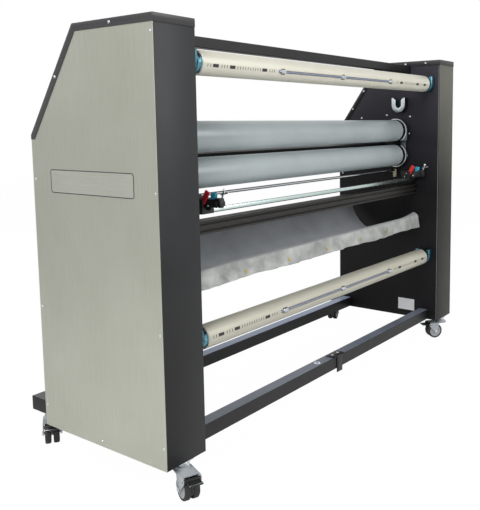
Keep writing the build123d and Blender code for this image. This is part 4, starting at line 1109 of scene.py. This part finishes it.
mushroom = [
    (-0.0145, 0.0), (-0.0145, 0.005), (0.0, 0.005), (0.0, 0.0155), (0.0012, 0.0168), (0.007, 0.0170),
    (0.0105, 0.0160), (0.0128, 0.0125), (0.0138, 0.007), (0.0140, 0.0),
]
add_piece(
    "stop_mushroom",
    on_panel(turned(mushroom, (0, 0, 0), "Z", 56), controls_across, stop_down, plate_top + 0.0105),
    "stop_button", signal_red, ["emergency_stop"],
)
for name, body, node, down, radius, height in (
    ("speed_dial_cap", "speed_dial", "speed_knob", dial_down, 0.012, 0.0150),
    ("direction_lever", "direction_selector", "direction_switch", switch_down, 0.011, 0.0090),
):
    line = [
        (-0.0040, 0.0), (-0.0040, 0.005), (0.0, 0.005), (0.0, radius), (0.0015, radius),
        (0.003, radius - 0.0009), (height - 0.001, radius - 0.0014), (height, radius - 0.0026), (height, 0.0),
    ]
    grips = []
    for i in range(20):
        a = 2 * math.pi * i / 20
        way = (math.cos(a), math.sin(a), 0)
        grips.append((((radius - 0.0014) * way[0], (radius - 0.0014) * way[1], height * 0.52), way))
    flute = boxed((-height * 0.33, -0.0006, 0.0), (height * 0.33, 0.0006, 0.0009), 0.0002, 1)
    flutes = repeated(flute, grips, moulded_black)
    pointer = boxed((-0.0009, -0.001, height), (0.0009, radius - 0.003, height + 0.0006), 0.0002, 1)
    knob = joined([
        finished(turned(line, (0, 0, 0), "Z", 48), moulded_black), flutes, finished(pointer, sticker_white),
    ])
    knob = on_panel(knob, controls_across, down, plate_top + 0.0005)
    add_piece(name, knob, body, None, [node])

# Power inlet: a moulded socket with three blades, screwed into the right cabinet's front.
wear("power_inlet", moulded_black)

# Casters: a pressed grey fork that swivels under a bright ball race, a twin wheel with a
# moulded hub and a black tread, and a black brake pedal edged with bright steel.
caster_grey = coated("caster_grey", "8a8f94", "a5aaae", 0.4, 700, 0.06)
hub_grey = coated("hub_grey", "8f9296", "a9acaf", 0.45, 700, 0.06)
tread_black = coated("tread_rubber", "141415", "1e1e20", 0.62, 1200, 0.1)
corners = {
    "rear_left": (-0.9375, -0.3076, 248), "rear_right": (0.9375, -0.3076, 141),
    "front_left": (-0.9375, 0.3524, 235), "front_right": (0.9375, 0.3524, 200),
}
dress("caster_plates", "caster_mounts", 0.0006, bright_rim, segments=1)
to_axle = Matrix.Translation((0.038, 0, 0.0375))
tyre = [
    (0.0045, 0.0285), (0.004, 0.0315), (0.004, 0.0345), (0.0065, 0.037), (0.0095, 0.0375),
    (0.0185, 0.0375), (0.0215, 0.037), (0.0240, 0.0345), (0.0240, 0.0315), (0.0235, 0.0285),
]
disc = [
    (0.004, 0.0055), (0.004, 0.0285), (0.0235, 0.0285), (0.0236, 0.0245), (0.0216, 0.0225),
    (0.0216, 0.0125), (0.0238, 0.0105), (0.0238, 0.0055),
]
core = [(-0.0045, 0.0055), (-0.0045, 0.010), (0.0045, 0.010), (0.0045, 0.0055)]
nut = [(0.0298, 0.0), (0.0298, 0.0085), (0.0335, 0.0085), (0.0345, 0.007), (0.0345, 0.0)]
for corner, (x, y, heading) in corners.items():
    turn = Matrix.Translation((x, y, 0)) @ Matrix.Rotation(math.radians(heading), 4, "Z")
    wheel_parts, nuts = [], []
    for side in (-1, 1):
        for line, material in ((tyre, tread_black), (disc, hub_grey)):
            wheel_parts.append(finished(turned(line, (0, 0, 0), "Y", 64, True, side), material))
        nuts.append(turned(nut, (0, 0, 0), "Y", 6, side=side))
    wheel_parts.append(finished(turned(core, (0, 0, 0), "Y", 32, loop=True), hub_grey))
    twin = joined(wheel_parts)
    twin.transform(turn @ to_axle)
    wheel, fork, brake = (f"{corner}_{part}" for part in ("wheel", "fork", "brake"))
    add_piece(f"{corner}_twin_wheel", twin, wheel, None, [f"{corner}_caster_wheel"])
    dress(f"{corner}_fork_piece", f"{corner}_caster_fork", 0.0007, caster_grey, fork)
    nuts = joined(nuts)
    nuts.transform(turn @ to_axle)
    add_piece(f"{corner}_axle_nuts", nuts, fork, bright_rim)
    dress(f"{corner}_pedal", f"{corner}_brake_pedal", 0.0012, moulded_black, brake)
    edging = boxed((0.0995, -0.0212, 0.0682), (0.1042, 0.0212, 0.0740), 0.0012)
    edging.transform(turn)
    add_piece(f"{corner}_pedal_edge", edging, brake, bright_rim)

# Name plate: brushed silver sheet glued to the left panel, bare but for a thin dark line round
# its edge. A bare white label is on the right cabinet's inner plate.
plate_silver = drawn_metal("plate_silver", "a3a59a", "b9bab2", 0.40, (600, 12, 600), 0.03, 0.75)
wear("name_plate", plate_silver)


def rounded_loop(width, height, radius, steps=8):
    """Corner points of a rounded rectangle about the origin."""
    points = []
    for cx, cy, start in ((1, 1, 0), (-1, 1, 90), (-1, -1, 180), (1, -1, 270)):
        x, y = cx * (width / 2 - radius), cy * (height / 2 - radius)
        for i in range(steps + 1):
            a = math.radians(start + 90 * i / steps)
            points.append((x + radius * math.cos(a), y + radius * math.sin(a)))
    return points


def thin_frame(across, up_size, radius, line, face_x, centre_y, centre_z, rise):
    """A raised line round a rounded plate that faces -X."""
    build = bmesh.new()
    loops = []
    for inset, lift in ((0, 0), (0, rise), (line, rise), (line, 0)):
        points = rounded_loop(across - 2 * inset, up_size - 2 * inset, radius - inset)
        loops.append([build.verts.new((face_x - lift, centre_y + p, centre_z + q)) for p, q in points])
    for one, two in zip(loops, loops[1:] + loops[:1]):
        for i in range(len(one)):
            j = (i + 1) % len(one)
            build.faces.new((one[i], one[j], two[j], two[i]))
    bmesh.ops.recalc_face_normals(build, faces=build.faces)
    return mesh_of(build)


border = thin_frame(0.394, 0.075, 0.009, 0.0026, -1.0195, -0.0316, 0.9434, 0.0003)
add_piece("plate_border", border, "machine_frame", ink)
label_white = coated("label_white", "d6d7d8", "e6e7e8", 0.45, 700, 0.02)
label = boxed((0.8544, -0.1976, 0.138), (0.8552, -0.1046, 0.198))
add_piece("bare_label", label, "machine_frame", label_white)

# Screw heads: zinc-plated pan heads with a cross recess, on panels, caps, plates and clamp.
screw_zinc = drawn_metal("screw_zinc", "a5abae", "d6dadb", 0.28, (300, 300, 300), 0.04)
head_line = [
    (-0.0003, 0.0), (-0.0003, 0.0048), (0.0004, 0.0050), (0.0012, 0.0046), (0.0019, 0.0034), (0.0021, 0.0018),
    (0.0021, 0.0),
]
head = turned(head_line, (0, 0, 0), "Z", 28)
for turn in (0, math.pi / 2):
    slot = boxed((-0.0024, -0.00045, 0.0011), (0.0024, 0.00045, 0.0030))
    slot.transform(Matrix.Rotation(turn, 4, "Z"))
    head = cut_away(head, slot)
screw_mesh = nodes["panel_screws"].data
build = bmesh.new()
build.from_mesh(screw_mesh)
bmesh.ops.remove_doubles(build, verts=build.verts, dist=1e-5)
screw_spots = []
left_over = dict.fromkeys(build.verts)
while left_over:
    group = [left_over.popitem()[0]]
    for v in group:
        for edge in v.link_edges:
            other = edge.other_vert(v)
            if other in left_over:
                del left_over[other]
                group.append(other)
    low = Vector(min(v.co[i] for v in group) for i in range(3))
    high = Vector(max(v.co[i] for v in group) for i in range(3))
    middle, size = (low + high) / 2, high - low
    thin = min(range(3), key=lambda i: size[i])
    way = Vector((0, 0, 0))
    if thin == 0:
        way.x = (1 if middle.x > 0 else -1) * (1 if abs(middle.x) > 0.95 else -1)
    else:
        way[thin] = 1
    spot = middle - way * size[thin] / 2
    screw_spots.append((tuple(spot), tuple(way)))
build.free()
screws = repeated(head, screw_spots, screw_zinc)
add_piece("screw_heads", screws, "machine_frame", None, ["panel_screws"])
